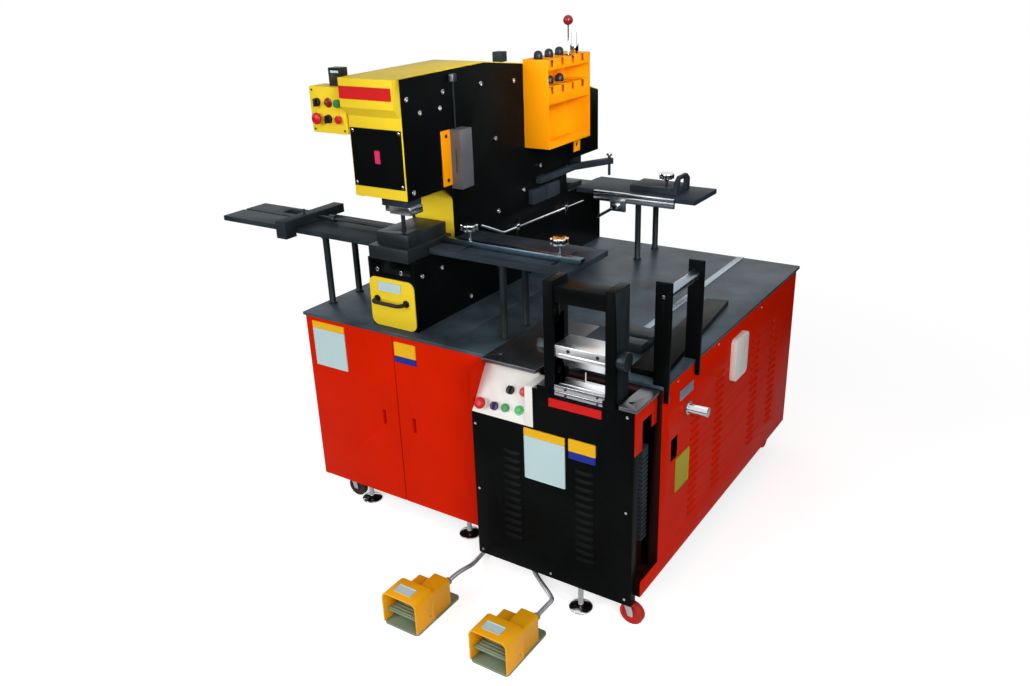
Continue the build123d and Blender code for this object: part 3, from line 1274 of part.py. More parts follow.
def scrap_drawer():
    """The drawer under the press bed: a rounded front and an open box behind it."""
    face_back = PRESS_FRONT - DRAWER_FRONT_GAP
    front = slab((PRESS_LEFT + DRAWER_SIDE_GAP, PRESS_RIGHT - DRAWER_SIDE_GAP),
                 (face_back - DRAWER_FRONT, face_back), (DRAWER_LOW, DRAWER_LOW + DRAWER_HEIGHT))
    front = fillet(front.edges().filter_by(Axis.Y), DRAWER_CORNER)
    back = PRESS_FRONT + DRAWER_DEPTH
    left = CORE_LEFT + DRAWER_BOX_GAP
    right = CORE_RIGHT - DRAWER_BOX_GAP
    top = DRAWER_LOW + DRAWER_BOX_HEIGHT
    box = slab((left, right), (face_back, back), (TABLE_TOP + SEAT, top))
    box -= slab((left + PANEL, right - PANEL), (face_back, back - PANEL), (TABLE_TOP + SEAT + PANEL, top))
    return front + box


def drawer_handle():
    """A bow handle with two feet on the drawer front."""
    z = TABLE_TOP + HANDLE_LEVEL
    face = PRESS_FRONT - DRAWER_FRONT_GAP - DRAWER_FRONT
    out = face - HANDLE_OUT
    left = PRESS_LEFT + HANDLE_LEFT
    right = PRESS_RIGHT - HANDLE_RIGHT
    path = FilletPolyline((left, face, z), (left, out, z), (right, out, z), (right, face, z),
                          radius=HANDLE_BEND)
    bow = sweep(Plane(origin=path @ 0, z_dir=path % 0) * Circle(HANDLE_RADIUS), path)
    feet = [rod((x, face - HANDLE_FOOT_THICK, z), (x, face, z), HANDLE_FOOT) for x in (left, right)]
    return bow + feet


def hold_down_arm():
    """The arm on the side plate that bends towards the rear feed table, with a hole for its bolt."""
    level = (FEED_TOP + ARM_RISE, FEED_TOP + ARM_RISE + ARM_THICK)
    left = PRESS_RIGHT + ARM_GAP
    right = left + ARM_WIDTH
    start = REAR_FEED_FRONT - ARM_START
    tip_x = PRESS_RIGHT + ARM_REACH
    tip_y = REAR_FEED_FRONT + ARM_TIP
    arm = along_z([(left, start), (right, start), (right, REAR_FEED_FRONT - ARM_BEND), (tip_x, tip_y),
                   (tip_x - ARM_TIP_WIDTH, tip_y + ARM_TIP_DEPTH),
                   (left, REAR_FEED_FRONT - ARM_INNER_BEND)], level)
    pad = REAR_FEED_FRONT - ARM_PAD_START
    arm += slab((PRESS_RIGHT, left), (pad, pad + ARM_PAD_LENGTH), level)
    return arm - Pos(PRESS_RIGHT + ARM_BOLT_X, REAR_FEED_FRONT + ARM_BOLT_Y, level[0]) * Cylinder(
        STEM_RADIUS, ARM_THICK, align=UP)


def side_pipe():
    """A bent pipe along the side plate, held by two clips."""
    x = PRESS_RIGHT + PIPE_OUT
    start = (x, PRESS_FRONT + PIPE_START, PRESS_BED + PIPE_START_RISE)
    knee = (x, PRESS_FRONT + PIPE_KNEE, PRESS_BED - PIPE_KNEE_DROP)
    end = (x, PRESS_BACK - PIPE_END_INSET, PRESS_BED - PIPE_END_DROP)
    path = FilletPolyline(start, knee, end, radius=PIPE_BEND)
    pipe = sweep(Plane(origin=path @ 0, z_dir=path % 0) * Circle(PIPE_RADIUS), path)
    fall = (end[2] - knee[2]) / (end[1] - knee[1])
    for y in (knee[1] + CLIP_START, knee[1] + CLIP_START + CLIP_PITCH):
        z = knee[2] + fall * (y - knee[1])
        pipe += slab((PRESS_RIGHT, x + PIPE_RADIUS), (y, y + CLIP_LENGTH),
                     (z - CLIP_HEIGHT / 2, z + CLIP_HEIGHT / 2))
    return pipe


def shear_arm():
    """The hold-down arm and its bolt, and the guide blocks and the pipe of the side plate."""
    low = FEED_TOP + ARM_BOLT_LOW
    bolt = Cylinder(STEM_RADIUS, ARM_BOLT_SHANK, align=UP)
    bolt += Pos(0, 0, ARM_BOLT_SHANK) * Cylinder(ARM_BOLT_HEAD_RADIUS, ARM_BOLT_HEAD, align=UP)
    bolt = Pos(PRESS_RIGHT + ARM_BOLT_X, REAR_FEED_FRONT + ARM_BOLT_Y, low) * bolt
    blocks = []
    first = REAR_FEED_FRONT - GUIDE_BLOCK_START
    low = FEED_TOP + GUIDE_BLOCK_RISE
    for y in (first, first + GUIDE_BLOCK_PITCH):
        blocks.append(slab((PRESS_RIGHT, PRESS_RIGHT + GUIDE_BLOCK_THICK), (y, y + GUIDE_BLOCK_LENGTH),
                           (low, low + GUIDE_BLOCK_HEIGHT)))
    return group(hold_down_arm(), bolt, *blocks, side_pipe())


# Feed tables

def feed_tables():
    """Three thick tables: the left one is grooved and slotted, the right one has the fence slots."""
    level = (FEED_UNDER, FEED_TOP)
    left = slab((FEED_LEFT, PRESS_LEFT - SEAT), (LEFT_FEED_FRONT, LEFT_FEED_FRONT + LEFT_FEED_DEPTH),
                level)
    groove = LEFT_FEED_FRONT + SCALE_GROOVE_FRONT
    left -= slab((FEED_LEFT, SCALE_GROOVE_END), (groove, groove + SCALE_GROOVE_WIDTH),
                 (FEED_TOP - SCALE_GROOVE_DEPTH, FEED_TOP))
    grip = LEFT_FEED_FRONT + GRIP_SLOT_FRONT
    left -= slab((GRIP_SLOT_LEFT, GRIP_SLOT_LEFT + GRIP_SLOT_LENGTH), (grip, grip + GRIP_SLOT_WIDTH),
                 level)
    right = slab((PRESS_RIGHT + SEAT, FEED_RIGHT), (RIGHT_FEED_FRONT, RIGHT_FEED_FRONT + RIGHT_FEED_DEPTH),
                 level)
    half = STEM_RADIUS + SLOT_GAP
    slot = (FENCE_MIDDLE - FENCE_FORWARD - SLOT_SPARE, FENCE_MIDDLE + FENCE_BACKWARD + SLOT_SPARE)
    for x in (FENCE_STEM_LEFT, FENCE_STEM_RIGHT):
        right -= slab((x - half, x + half), slot, level)
    rear = slab((PRESS_RIGHT + REAR_FEED_LEFT, FEED_RIGHT), (REAR_FEED_FRONT, REAR_FEED_BACK), level)
    return group(left, right, rear)


def feed_supports():
    """Round posts with a flange at each end, and the rear rail."""
    places = []
    for x, front, pitch in ((LEFT_POST_X, LEFT_FEED_FRONT, LEFT_POST_PITCH),
                            (RIGHT_POST_X, RIGHT_FEED_FRONT, RIGHT_POST_PITCH),
                            (REAR_POST_X, REAR_FEED_FRONT, REAR_POST_PITCH)):
        places += [(x, front + POST_EDGE), (x, front + POST_EDGE + pitch)]
    pieces = [rear_rail()]
    for x, y in places:
        post = rod((x, y, TABLE_TOP), (x, y, FEED_UNDER), FEED_POST_RADIUS)
        for z in (TABLE_TOP, FEED_UNDER - POST_FLANGE_THICK):
            post += rod((x, y, z), (x, y, z + POST_FLANGE_THICK), POST_FLANGE)
        pieces.append(post)
    return group(*pieces)


def rear_rail():
    """The bright scale rail on the rear feed table's front edge, with the lever's bracket."""
    front = REAR_FEED_FRONT
    low = FEED_TOP - RAIL_LOW_TOP
    rail = along_x([(front, FEED_TOP), (front - RAIL_TOP_DEPTH, FEED_TOP),
                    (front - RAIL_TOP_DEPTH, FEED_TOP - RAIL_TOP_HEIGHT),
                    (front - RAIL_NECK_DEPTH, FEED_TOP - RAIL_TOP_HEIGHT), (front - RAIL_NECK_DEPTH, low),
                    (front - RAIL_LOW_DEPTH, low), (front - RAIL_LOW_DEPTH, low - RAIL_LOW_HEIGHT),
                    (front, low - RAIL_LOW_HEIGHT)], (RAIL_LEFT, RAIL_RIGHT))
    top = FEED_TOP - BRACKET_TOP
    out = front - BRACKET_OUT
    rail += slab((BRACKET_LEFT, BRACKET_LEFT + BRACKET_WIDTH), (out, front - RAIL_LOW_DEPTH),
                 (top - BRACKET_HEIGHT, top - RAIL_TOP_HEIGHT))
    return rail - rod((LEVER_X, out, LEVER_Z), (LEVER_X, front - RAIL_LOW_DEPTH, LEVER_Z),
                      AXLE_RADIUS + RUNNING)


def clamp_lever():
    """A plain round lever on a hub that turns on a pin in the rail's bracket."""
    face = REAR_FEED_FRONT - BRACKET_OUT
    hub = rod((LEVER_X, face - SEAT - LEVER_HUB_LENGTH, LEVER_Z), (LEVER_X, face - SEAT, LEVER_Z),
              LEVER_HUB)
    hub += rod((LEVER_X, face - SEAT, LEVER_Z), (LEVER_X, REAR_FEED_FRONT - RAIL_LOW_DEPTH, LEVER_Z),
               AXLE_RADIUS)
    middle = face - SEAT - LEVER_HUB_LENGTH / 2
    fall = math.radians(LEVER_SLANT)
    end = (LEVER_X - LEVER_REACH * math.cos(fall), middle, LEVER_Z - LEVER_REACH * math.sin(fall))
    return hub + rod((LEVER_X, middle, LEVER_Z), end, LEVER_RADIUS)


def star_knob(stem_bottom, head_bottom):
    """A scalloped hand knob on a stem, about its own Z axis."""
    head = Cylinder(KNOB_RADIUS, KNOB_HEIGHT, align=UP)
    head -= [spot * Cylinder(KNOB_SCALLOP, KNOB_HEIGHT, align=UP)
             for spot in PolarLocations(KNOB_SCALLOP_REACH, KNOB_LOBES)]
    low = head_bottom - KNOB_NECK
    neck = turned([(0, stem_bottom), (STEM_RADIUS, stem_bottom), (STEM_RADIUS, low),
                   (KNOB_NECK, head_bottom),
                   (0, head_bottom)])
    return Pos(0, 0, head_bottom) * head + neck


def fence_bar():
    """The chamfered fence across the right feed table, with a hole for each clamp stem."""
    back = FENCE_FRONT + FENCE_DEPTH
    top = FEED_TOP + FENCE_HEIGHT
    bar = along_x([(FENCE_FRONT, FEED_SEAT), (back, FEED_SEAT), (back, top - FENCE_EDGE),
                   (back - FENCE_EDGE, top),
                   (FENCE_FRONT, top)], (PRESS_RIGHT + FENCE_LEFT_GAP, FEED_RIGHT + FENCE_OVERHANG))
    for x in (FENCE_STEM_LEFT, FENCE_STEM_RIGHT):
        bar -= rod((x, FENCE_MIDDLE, FEED_SEAT), (x, FENCE_MIDDLE, top), STEM_RADIUS + RUNNING)
    return bar


def fence_knob(x):
    """A star knob whose stem ends in a washer under the feed table."""
    low = FEED_UNDER - SEAT - WASHER_THICK
    knob = star_knob(low, FEED_TOP + FENCE_KNOB_RISE)
    return Pos(x, FENCE_MIDDLE, 0) * (knob + Pos(0, 0, low) * Cylinder(WASHER_RADIUS, WASHER_THICK,
                                                                       align=UP))


def stop_beam():
    """The cross beam of the left feed table, hooked over its front edge, with a bore for the stop rod."""
    hook = LEFT_FEED_FRONT - SEAT
    front = LEFT_FEED_FRONT - STOP_BEAM_HOOK
    back = LEFT_FEED_FRONT + LEFT_FEED_DEPTH + STOP_BEAM_BACK
    low = FEED_TOP - STOP_BEAM_DROP
    top = FEED_TOP + STOP_BEAM_HEIGHT
    right = STOP_BEAM_LEFT + STOP_BEAM_WIDTH
    beam = along_x([(front, low), (hook, low), (hook, FEED_SEAT), (back, FEED_SEAT), (back, top),
                    (front, top)],
                   (STOP_BEAM_LEFT, right))
    beam -= rod((STOP_BEAM_LEFT, STOP_ROD_Y, STOP_ROD_Z), (right, STOP_ROD_Y, STOP_ROD_Z),
                STEM_RADIUS + RUNNING)
    middle = STOP_BEAM_LEFT + STOP_BEAM_WIDTH / 2
    return beam + Pos(middle, LEFT_FEED_FRONT + STOP_PIN_FRONT, top) * Cylinder(STOP_PIN_RADIUS,
                                                                                STOP_PIN_HEIGHT,
                                                                                align=UP)


def stop_rod():
    """The stop rod with its collar."""
    bar = rod((STOP_ROD_LEFT, STOP_ROD_Y, STOP_ROD_Z), (STOP_ROD_RIGHT, STOP_ROD_Y, STOP_ROD_Z),
              STEM_RADIUS)
    end = STOP_COLLAR_LEFT + STOP_COLLAR_LENGTH
    return bar + rod((STOP_COLLAR_LEFT, STOP_ROD_Y, STOP_ROD_Z), (end, STOP_ROD_Y, STOP_ROD_Z),
                     STOP_COLLAR_RADIUS)


def rear_stop():
    """The sliding stop plate of the rear feed table with its arched end bracket."""
    right = REAR_STOP_LEFT + REAR_STOP_LENGTH
    back = REAR_STOP_Y + REAR_STOP_DEPTH
    top = FEED_TOP + REAR_STOP_HEIGHT
    plate = slab((REAR_STOP_LEFT, right), (REAR_STOP_Y, back), (FEED_SEAT, top))
    side = FEED_TOP + ARCH_SHOULDER
    arch = along_x([(REAR_STOP_Y, FEED_SEAT), (back, FEED_SEAT), (back, side),
                    (back - ARCH_CHAMFER, FEED_TOP + ARCH_RISE),
                    (REAR_STOP_Y + ARCH_CHAMFER, FEED_TOP + ARCH_RISE), (REAR_STOP_Y, side)],
                   (right, right + ARCH_THICK))
    mouth = REAR_STOP_Y + ARCH_OPENING_FRONT
    arch -= slab((right, right + ARCH_THICK), (mouth, mouth + ARCH_OPENING),
                 (FEED_TOP + ARCH_OPENING_LOW, FEED_TOP + ARCH_OPENING_HIGH))
    stem = rod((REAR_KNOB_X, REAR_KNOB_Y, FEED_SEAT), (REAR_KNOB_X, REAR_KNOB_Y, top),
               STEM_RADIUS + RUNNING)
    return plate + arch - stem


# Bending station

def upper_block():
    """The block between the posts, with a thin lip and a tapered punch along its underside."""
    front = BUMP_FRONT + BLOCK_SETBACK
    back = front + BLOCK_DEPTH
    left = GATE_INNER_LEFT + BLOCK_END
    right = GATE_INNER_RIGHT - KEEPER_GAP
    block = slab((GATE_INNER_LEFT, GATE_INNER_RIGHT), (front, back),
                 (BLOCK_BOTTOM, BLOCK_BOTTOM + BLOCK_HEIGHT))
    block += slab((left, right), (front - BLOCK_LIP_OUT, back), (BLOCK_BOTTOM, BLOCK_BOTTOM + BLOCK_LIP))
    half = DIE_DEPTH / 2
    tip = BLOCK_BOTTOM - PUNCH_DROP
    return block + along_x([(DIE_Y - half, BLOCK_BOTTOM), (DIE_Y + half, BLOCK_BOTTOM),
                            (DIE_Y + PUNCH_TIP, tip),
                            (DIE_Y - PUNCH_TIP, tip)], (left, right))


def gate_pin(y, z):
    """The cross pin with a hexagon head on the left and a round knob on the right."""
    pin = rod((GATE_LEFT, y, z), (GATE_RIGHT, y, z), GATE_PIN_RADIUS)
    head = Plane(origin=(GATE_LEFT - GATE_NUT_HEIGHT, y, z), x_dir=(0, 1, 0), z_dir=(1, 0, 0))
    pin += head * hexagon(GATE_NUT_RADIUS, GATE_NUT_HEIGHT)
    return pin + rod((GATE_RIGHT, y, z), (GATE_RIGHT + GATE_KNOB_WIDTH, y, z), GATE_KNOB_RADIUS)


def bending_gate():
    """Two posts from the base sheet, crossbar, lower beam, upper block with its punch, and the cross pin."""
    depth = (BUMP_FRONT, BUMP_FRONT + POST_DEPTH)
    inner = (GATE_INNER_LEFT, GATE_INNER_RIGHT)
    bar_front = BUMP_FRONT + CROSSBAR_SETBACK
    bar_top = GATE_TOP - CROSSBAR_DROP
    bar = slab(inner, (bar_front, bar_front + CROSSBAR_DEPTH), (bar_top - CROSSBAR_HEIGHT, bar_top))
    beam = slab(inner, depth, (BEAM_LOW, BEAM_TOP))
    beam -= Pos(DIE_X, DIE_Y, BEAM_LOW) * Cylinder(ROD_RADIUS + RUNNING, BEAM_HEIGHT, align=UP)
    pin_y = BUMP_FRONT + GATE_PIN_SETBACK
    pin_z = BLOCK_BOTTOM + GATE_PIN_RISE
    bore = rod((GATE_LEFT, pin_y, pin_z), (GATE_RIGHT, pin_y, pin_z), GATE_PIN_RADIUS + RUNNING)
    posts = [slab((x, x + POST_WIDTH), depth, (FRAME_LOW, GATE_TOP)) - bore for x in (GATE_LEFT, inner[1])]
    keeper_front = BUMP_FRONT + KEEPER_SETBACK
    low = TABLE_TOP - KEEPER_HEIGHT
    keepers = [slab(inner, (keeper_front, keeper_front + KEEPER_THICK), (z, z + KEEPER_HEIGHT))
               for z in (low - KEEPER_GAP - KEEPER_HEIGHT, low)]
    boss_y = BUMP_FRONT + BOSS_SETBACK
    boss_z = CABINET_TOP + BOSS_RISE
    boss = rod((inner[0], boss_y, boss_z), (inner[0] + BOSS_LENGTH, boss_y, boss_z), BOSS_RADIUS)
    return group(*posts, bar, beam, upper_block() - bore, gate_pin(pin_y, pin_z), *keepers, boss)


def bending_die():
    """The lower die with its groove, on the cylinder's rod."""
    half = DIE_DEPTH / 2
    die = along_x([(DIE_Y - half, DIE_LOW), (DIE_Y + half, DIE_LOW), (DIE_Y + half, TABLE_TOP),
                   (DIE_Y + GROOVE_HALF, TABLE_TOP), (DIE_Y, TABLE_TOP - GROOVE_DEPTH),
                   (DIE_Y - GROOVE_HALF, TABLE_TOP), (DIE_Y - half, TABLE_TOP)],
                  (GATE_INNER_LEFT + DIE_SIDE_GAP, GATE_INNER_RIGHT - DIE_SIDE_GAP))
    die += rod((DIE_X, DIE_Y, BEAM_LOW - DIE_TRAVEL - ROD_TAIL), (DIE_X, DIE_Y, DIE_LOW), ROD_RADIUS)
    pin_x = DIE_X - DIE_PIN_OFFSET
    pin_y = DIE_Y + DIE_PIN_BACK
    return die + rod((pin_x, pin_y, TABLE_TOP - DIE_PIN_SUNK), (pin_x, pin_y, TABLE_TOP + DIE_PIN_HEIGHT),
                     DIE_PIN_RADIUS)


def stand_frame():
    """Two upright plates for the roller, screwed to the table's edge, and the black deck before them."""
    left = TABLE_RIGHT - STAND_INSET
    right = TABLE_RIGHT + STAND_OUT
    foot = TABLE_TOP - STAND_FOOT_DROP
    head = ROLLER_Z + STAND_HEAD
    outline = [(left, TABLE_TOP), (TABLE_RIGHT, TABLE_TOP), (TABLE_RIGHT, foot), (right, foot),
               (right, head),
               (left, head)]
    axle = rod((ROLLER_X, STAND_FRONT, ROLLER_Z), (ROLLER_X, STAND_BACK, ROLLER_Z), STEM_RADIUS + RUNNING)
    plates = [along_y(outline, (y, y + STAND_THICK)) - axle for y in (STAND_FRONT,
                                                                      STAND_BACK - STAND_THICK)]
    deck = along_z([(TABLE_RIGHT - STAND_DECK_LEFT, STAND_DECK_FRONT),
                    (TABLE_RIGHT - STAND_DECK_RIGHT, STAND_DECK_FRONT),
                    (TABLE_RIGHT - STAND_DECK_BACK_RIGHT, STAND_DECK_BACK),
                    (TABLE_RIGHT - STAND_DECK_BACK_LEFT, STAND_DECK_BACK - STAND_DECK_SKEW)],
                   (TABLE_TOP, TABLE_TOP + STAND_DECK_HEIGHT))
    return group(*plates, deck)


def stand_roller():
    """The roller with its axle stubs."""
    inner = STAND_THICK + SEAT
    roller = rod((ROLLER_X, STAND_FRONT + inner, ROLLER_Z), (ROLLER_X, STAND_BACK - inner, ROLLER_Z),
                 ROLLER_RADIUS)
    return roller + rod((ROLLER_X, STAND_FRONT, ROLLER_Z), (ROLLER_X, STAND_BACK, ROLLER_Z), STEM_RADIUS)


# Controls

def on_console(place):
    """A plane on the console's slope, for a place across from its left edge and down from its top edge."""
    across, down = place
    fall = down / CONSOLE_SLOPE
    origin = (BUMP_LEFT + across, -BUMP * fall, CONSOLE_TOP - CONSOLE_DROP * fall)
    return Plane(origin=origin, x_dir=(1, 0, 0), z_dir=CONSOLE_NORMAL)


def on_box(column, row):
    """A plane on the front of the head's control box."""
    x = BOX_LEFT + BOX_FIRST_COLUMN + column * BOX_COLUMN_PITCH
    z = BOX_TOP - BOX_FIRST_ROW - row * BOX_ROW_PITCH
    return Plane(origin=(x, BOX_FRONT, z), x_dir=(1, 0, 0), z_dir=(0, -1, 0))


CONSOLE_SELECTOR = on_console(SELECTOR_PLACE)
CONSOLE_MUSHROOM = on_console(MUSHROOM_PLACE)
CONSOLE_KEY = on_console(KEY_PLACE)
CONSOLE_BUTTON = on_console(BUTTON_PLACE)
CONSOLE_LAMPS = (on_console(HIGH_LAMP_PLACE), on_console(LOW_LAMP_PLACE))
HEAD_SELECTOR = on_box(0, 0)
HEAD_LAMP = on_box(1, 0)
HEAD_GREEN = on_box(2, 0)
HEAD_MUSHROOM = on_box(0, 1)
HEAD_KEY = on_box(1, 1)
HEAD_RED = on_box(2, 1)


def bezel():
    """The raised ring round a control's shaft."""
    inner = SHAFT_RADIUS + RUNNING
    return turned([(inner, 0), (BEZEL_RADIUS, 0), (BEZEL_RADIUS - BEZEL_EDGE, BEZEL_HEIGHT),
                   (inner, BEZEL_HEIGHT)])


def lamp():
    """A domed lamp on its ring."""
    return turned([(0, 0), (BEZEL_RADIUS, 0), (BEZEL_RADIUS - BEZEL_EDGE, BEZEL_HEIGHT), *LAMP_STEPS])


def capped_shaft(cap):
    """A shaft through the panel, with a cap whose (radius, height) points start clear of the ring."""
    gap = BEZEL_HEIGHT + PUSH + PUSH_GAP
    shaft = [(0, -SHAFT_TAIL), (SHAFT_RADIUS, -SHAFT_TAIL), (SHAFT_RADIUS, gap)]
    return turned(shaft + [(radius, gap + height) for radius, height in cap])


def push_button():
    """A flat cap on a shaft that stays clear of its ring over the push."""
    return capped_shaft(BUTTON_STEPS)


def mushroom():
    """A wide domed stop button."""
    return capped_shaft(MUSHROOM_STEPS)


def turn_switch(grip_width, grip_rise):
    """A turning ring on a shaft, with a handle or a key across it."""
    foot = BEZEL_HEIGHT + SEAT
    top = foot + RING_HEIGHT
    body = turned([(0, -SHAFT_TAIL), (SHAFT_RADIUS, -SHAFT_TAIL), (SHAFT_RADIUS, foot),
                   (RING_RADIUS, foot),
                   (RING_RADIUS - BEZEL_EDGE, top), (0, top)])
    return body + slab((-grip_width / 2, grip_width / 2), (-GRIP_HALF, GRIP_HALF), (foot, top + grip_rise))


def pierced(panel, planes):
    """A panel with a hole and a ring for each control."""
    for plane in planes:
        panel -= plane * Pos(0, 0, -BOX_OUT) * Cylinder(SHAFT_RADIUS + RUNNING, SHAFT_TAIL, align=UP)
        panel += plane * bezel()
    return panel


def console_box():
    """The sloping console: face, rear upright, side cheek and lamps."""
    sheet = CONSOLE_SHEET
    slope = sheet * CONSOLE_SLOPE / CONSOLE_DROP
    face = along_x([(-BUMP, CONSOLE_FOOT), (0, CONSOLE_TOP), (slope, CONSOLE_TOP),
                    (slope - BUMP, CONSOLE_FOOT)],
                   (BUMP_LEFT, CONSOLE_RIGHT))
    face = pierced(face, (CONSOLE_SELECTOR, CONSOLE_MUSHROOM, CONSOLE_KEY, CONSOLE_BUTTON))
    top = CONSOLE_TOP - PILLAR_DROP
    pillar = slab((CONSOLE_RIGHT, PILLAR_RIGHT), (-BUMP, slope), (CONSOLE_FOOT, top))
    pillar -= slab((CONSOLE_RIGHT + sheet, PILLAR_RIGHT - sheet), (-BUMP + sheet, slope),
                   (CONSOLE_FOOT, top - sheet))
    return group(face + pillar, *(plane * lamp() for plane in CONSOLE_LAMPS))


def control_boxes():
    """The head's control box with its bracket and lamp, and the counter on top of it."""
    right = BOX_LEFT + BOX_WIDTH
    wall = CONSOLE_SHEET
    box = slab((BOX_LEFT, right), (BOX_FRONT, BOX_BACK), (BOX_BOTTOM, BOX_TOP))
    box = fillet(box.edges().filter_by(Axis.Y), BOX_CORNER)
    box -= slab((BOX_LEFT + wall, right - wall), (BOX_FRONT + wall, BOX_BACK),
                (BOX_BOTTOM + wall, BOX_TOP - wall))
    box = pierced(box, (HEAD_SELECTOR, HEAD_GREEN, HEAD_MUSHROOM, HEAD_KEY, HEAD_RED))
    bracket = slab((BOX_LEFT + BOX_BRACKET_EDGE, COVER_LEFT), (BOX_BACK, BOX_BACK + BOX_BRACKET),
                   (BOX_BOTTOM + BOX_BRACKET_EDGE, BOX_TOP - BOX_BRACKET_EDGE))
    left = BOX_LEFT + COUNTER_LEFT
    face = BOX_BACK - COUNTER_SETBACK - COUNTER_DEPTH
    counter = slab((left, left + COUNTER_WIDTH), (face, face + COUNTER_DEPTH),
                   (BOX_TOP, BOX_TOP + COUNTER_HEIGHT))
    display = BOX_TOP + DISPLAY_LOW
    counter -= slab((left + COUNTER_FRAME, left + COUNTER_WIDTH - COUNTER_FRAME),
                    (face, face + DISPLAY_DEPTH),
                    (display, display + DISPLAY_HEIGHT))
    return group(box, bracket, HEAD_LAMP * lamp(), counter)


# Tool rack

def tool_rack():
    """A folded rack on the side plate: two notched shelves with a front lip, and an open pocket."""
    sheet = COVER_SHEET
    left = PRESS_RIGHT
    right = PRESS_RIGHT + RACK_DEPTH
    width = (RACK_FRONT, RACK_BACK)
    rack = slab((left, left + sheet), width, (RACK_BOTTOM, RACK_TOP))
    for low in (RACK_TOP - sheet, RACK_MIDDLE - sheet, RACK_BOTTOM):
        rack += slab((left, right), width, (low, low + sheet))
    for low, high in ((RACK_TOP - RACK_TOP_LIP, RACK_TOP), (RACK_MIDDLE - RACK_MIDDLE_LIP, RACK_MIDDLE),
                      (RACK_BOTTOM, RACK_BOTTOM + RACK_LOW_LIP)):
        rack += slab((right - sheet, right), width, (low, high))
    for low in (RACK_FRONT, RACK_BACK - sheet):
        rack += slab((left, right), (low, low + sheet), (RACK_BOTTOM, RACK_TOP))
    edge = right - RACK_SLOT_RIGHT
    for y in rack_slots(4):
        for level in (RACK_TOP, RACK_MIDDLE):
            rack -= slab((left + RACK_SLOT_LEFT, edge), (y - RACK_SLOT_HALF, y + RACK_SLOT_HALF),
                         (level - sheet, level))
            rack -= slab((edge, right), (y - RACK_NOTCH_HALF, y + RACK_NOTCH_HALF),
                         (level - RACK_NOTCH_DEPTH, level))
    tab = slab((left + TAB_LEFT, left + TAB_LEFT + sheet),
               (RACK_FRONT + TAB_START, RACK_FRONT + TAB_START + TAB_WIDTH),
               (RACK_BOTTOM - TAB_HEIGHT, RACK_BOTTOM))
    hole_y = RACK_FRONT + TAB_START + TAB_WIDTH / 2
    hole_z = RACK_BOTTOM - TAB_HOLE_DROP
    return rack + (tab - rod((left + TAB_LEFT, hole_y, hole_z), (left + TAB_LEFT + sheet, hole_y, hole_z),
                             TAB_HOLE))


def rack_slots(count):
    """Where the first slots of a shelf lie along Y."""
    return [RACK_FRONT + RACK_SLOT_START + step * RACK_SLOT_PITCH for step in range(count)]


def rack_tools():
    """Punches that hang in the rack's slots by their collars, a stepped punch and a rod with a ball."""
    punch = turned([(0, -TOOL_DEPTH), (TOOL_SHANK, -TOOL_DEPTH), (TOOL_SHANK, 0), *TOOL_STEPS])
    slots = rack_slots(4)
    places = [(RACK_TOP, y) for y in slots[:3]] + [(RACK_MIDDLE, y) for y in slots[1:3]]
    tools = [Pos(PRESS_RIGHT + TOOL_LEFT, y, level) * punch for level, y in places]
    stepped = turned([(0, -STEPPED_DEPTH), (TOOL_SHANK, -STEPPED_DEPTH), (TOOL_SHANK, 0), *STEPPED_STEPS])
    tools.append(Pos(PRESS_RIGHT + STEPPED_LEFT, slots[3], RACK_TOP) * stepped)
    radius = BALL_ROD_RADIUS
    ball = turned([(0, -BALL_ROD_DEPTH), (radius, -BALL_ROD_DEPTH), (radius, 0), (COLLAR_RADIUS, 0),
                   (COLLAR_RADIUS, COLLAR_THICK), (radius, COLLAR_THICK), (radius, BALL_ROD_HEIGHT),
                   (0, BALL_ROD_HEIGHT)])
    ball += Pos(0, 0, BALL_ROD_HEIGHT + BALL_RADIUS / 2) * Sphere(BALL_RADIUS)
    tools.append(Pos(PRESS_RIGHT + BALL_ROD_LEFT, slots[2], RACK_TOP) * ball)
    return group(*tools)


# Side fittings

def wall_fittings():
    """The wall box, the filler on its flange and the name plate of the right side."""
    face = CABINET_WIDTH
    low = CABINET_TOP - WALL_BOX_DROP - WALL_BOX_HEIGHT
    wall_box = slab((face, face + WALL_BOX_THICK), (WALL_BOX_Y, WALL_BOX_Y + WALL_BOX_WIDTH),
                    (low, low + WALL_BOX_HEIGHT))
    wall_box = fillet(wall_box.edges().filter_by(Axis.X), WALL_BOX_CORNER)
    z = CABINET_TOP - FILLER_DROP
    neck = face + FILLER_FLANGE_THICK
    filler = rod((face, FILLER_Y, z), (neck, FILLER_Y, z), FILLER_FLANGE)
    filler += rod((neck, FILLER_Y, z), (face + FILLER_LENGTH, FILLER_Y, z), FILLER_RADIUS)
    top = CABINET_TOP - NAME_PLATE_DROP
    plate = slab((face, face + NAME_PLATE_THICK), (NAME_PLATE_Y, NAME_PLATE_Y + NAME_PLATE_WIDTH),
                 (top - NAME_PLATE_HEIGHT, top))
    return [wall_box, filler, plate]


def wiring_duct():
    """The slotted wiring duct on the recess's partition."""
    top = CABINET_TOP - DUCT_DROP
    low = top - DUCT_HEIGHT
    across = (-DUCT_WIDTH / 2, DUCT_WIDTH / 2)
    duct = slab((RECESS_LEFT, RECESS_LEFT + DUCT_WIDTH), across, (low, top))
    count = int((DUCT_HEIGHT - 2 * DUCT_END) // DUCT_PITCH)
    teeth = [slab((RECESS_LEFT + DUCT_BASE, RECESS_LEFT + DUCT_WIDTH), across, (z, z + DUCT_SLOT))
             for z in (low + DUCT_END + step * DUCT_PITCH for step in range(count))]
    return duct - teeth


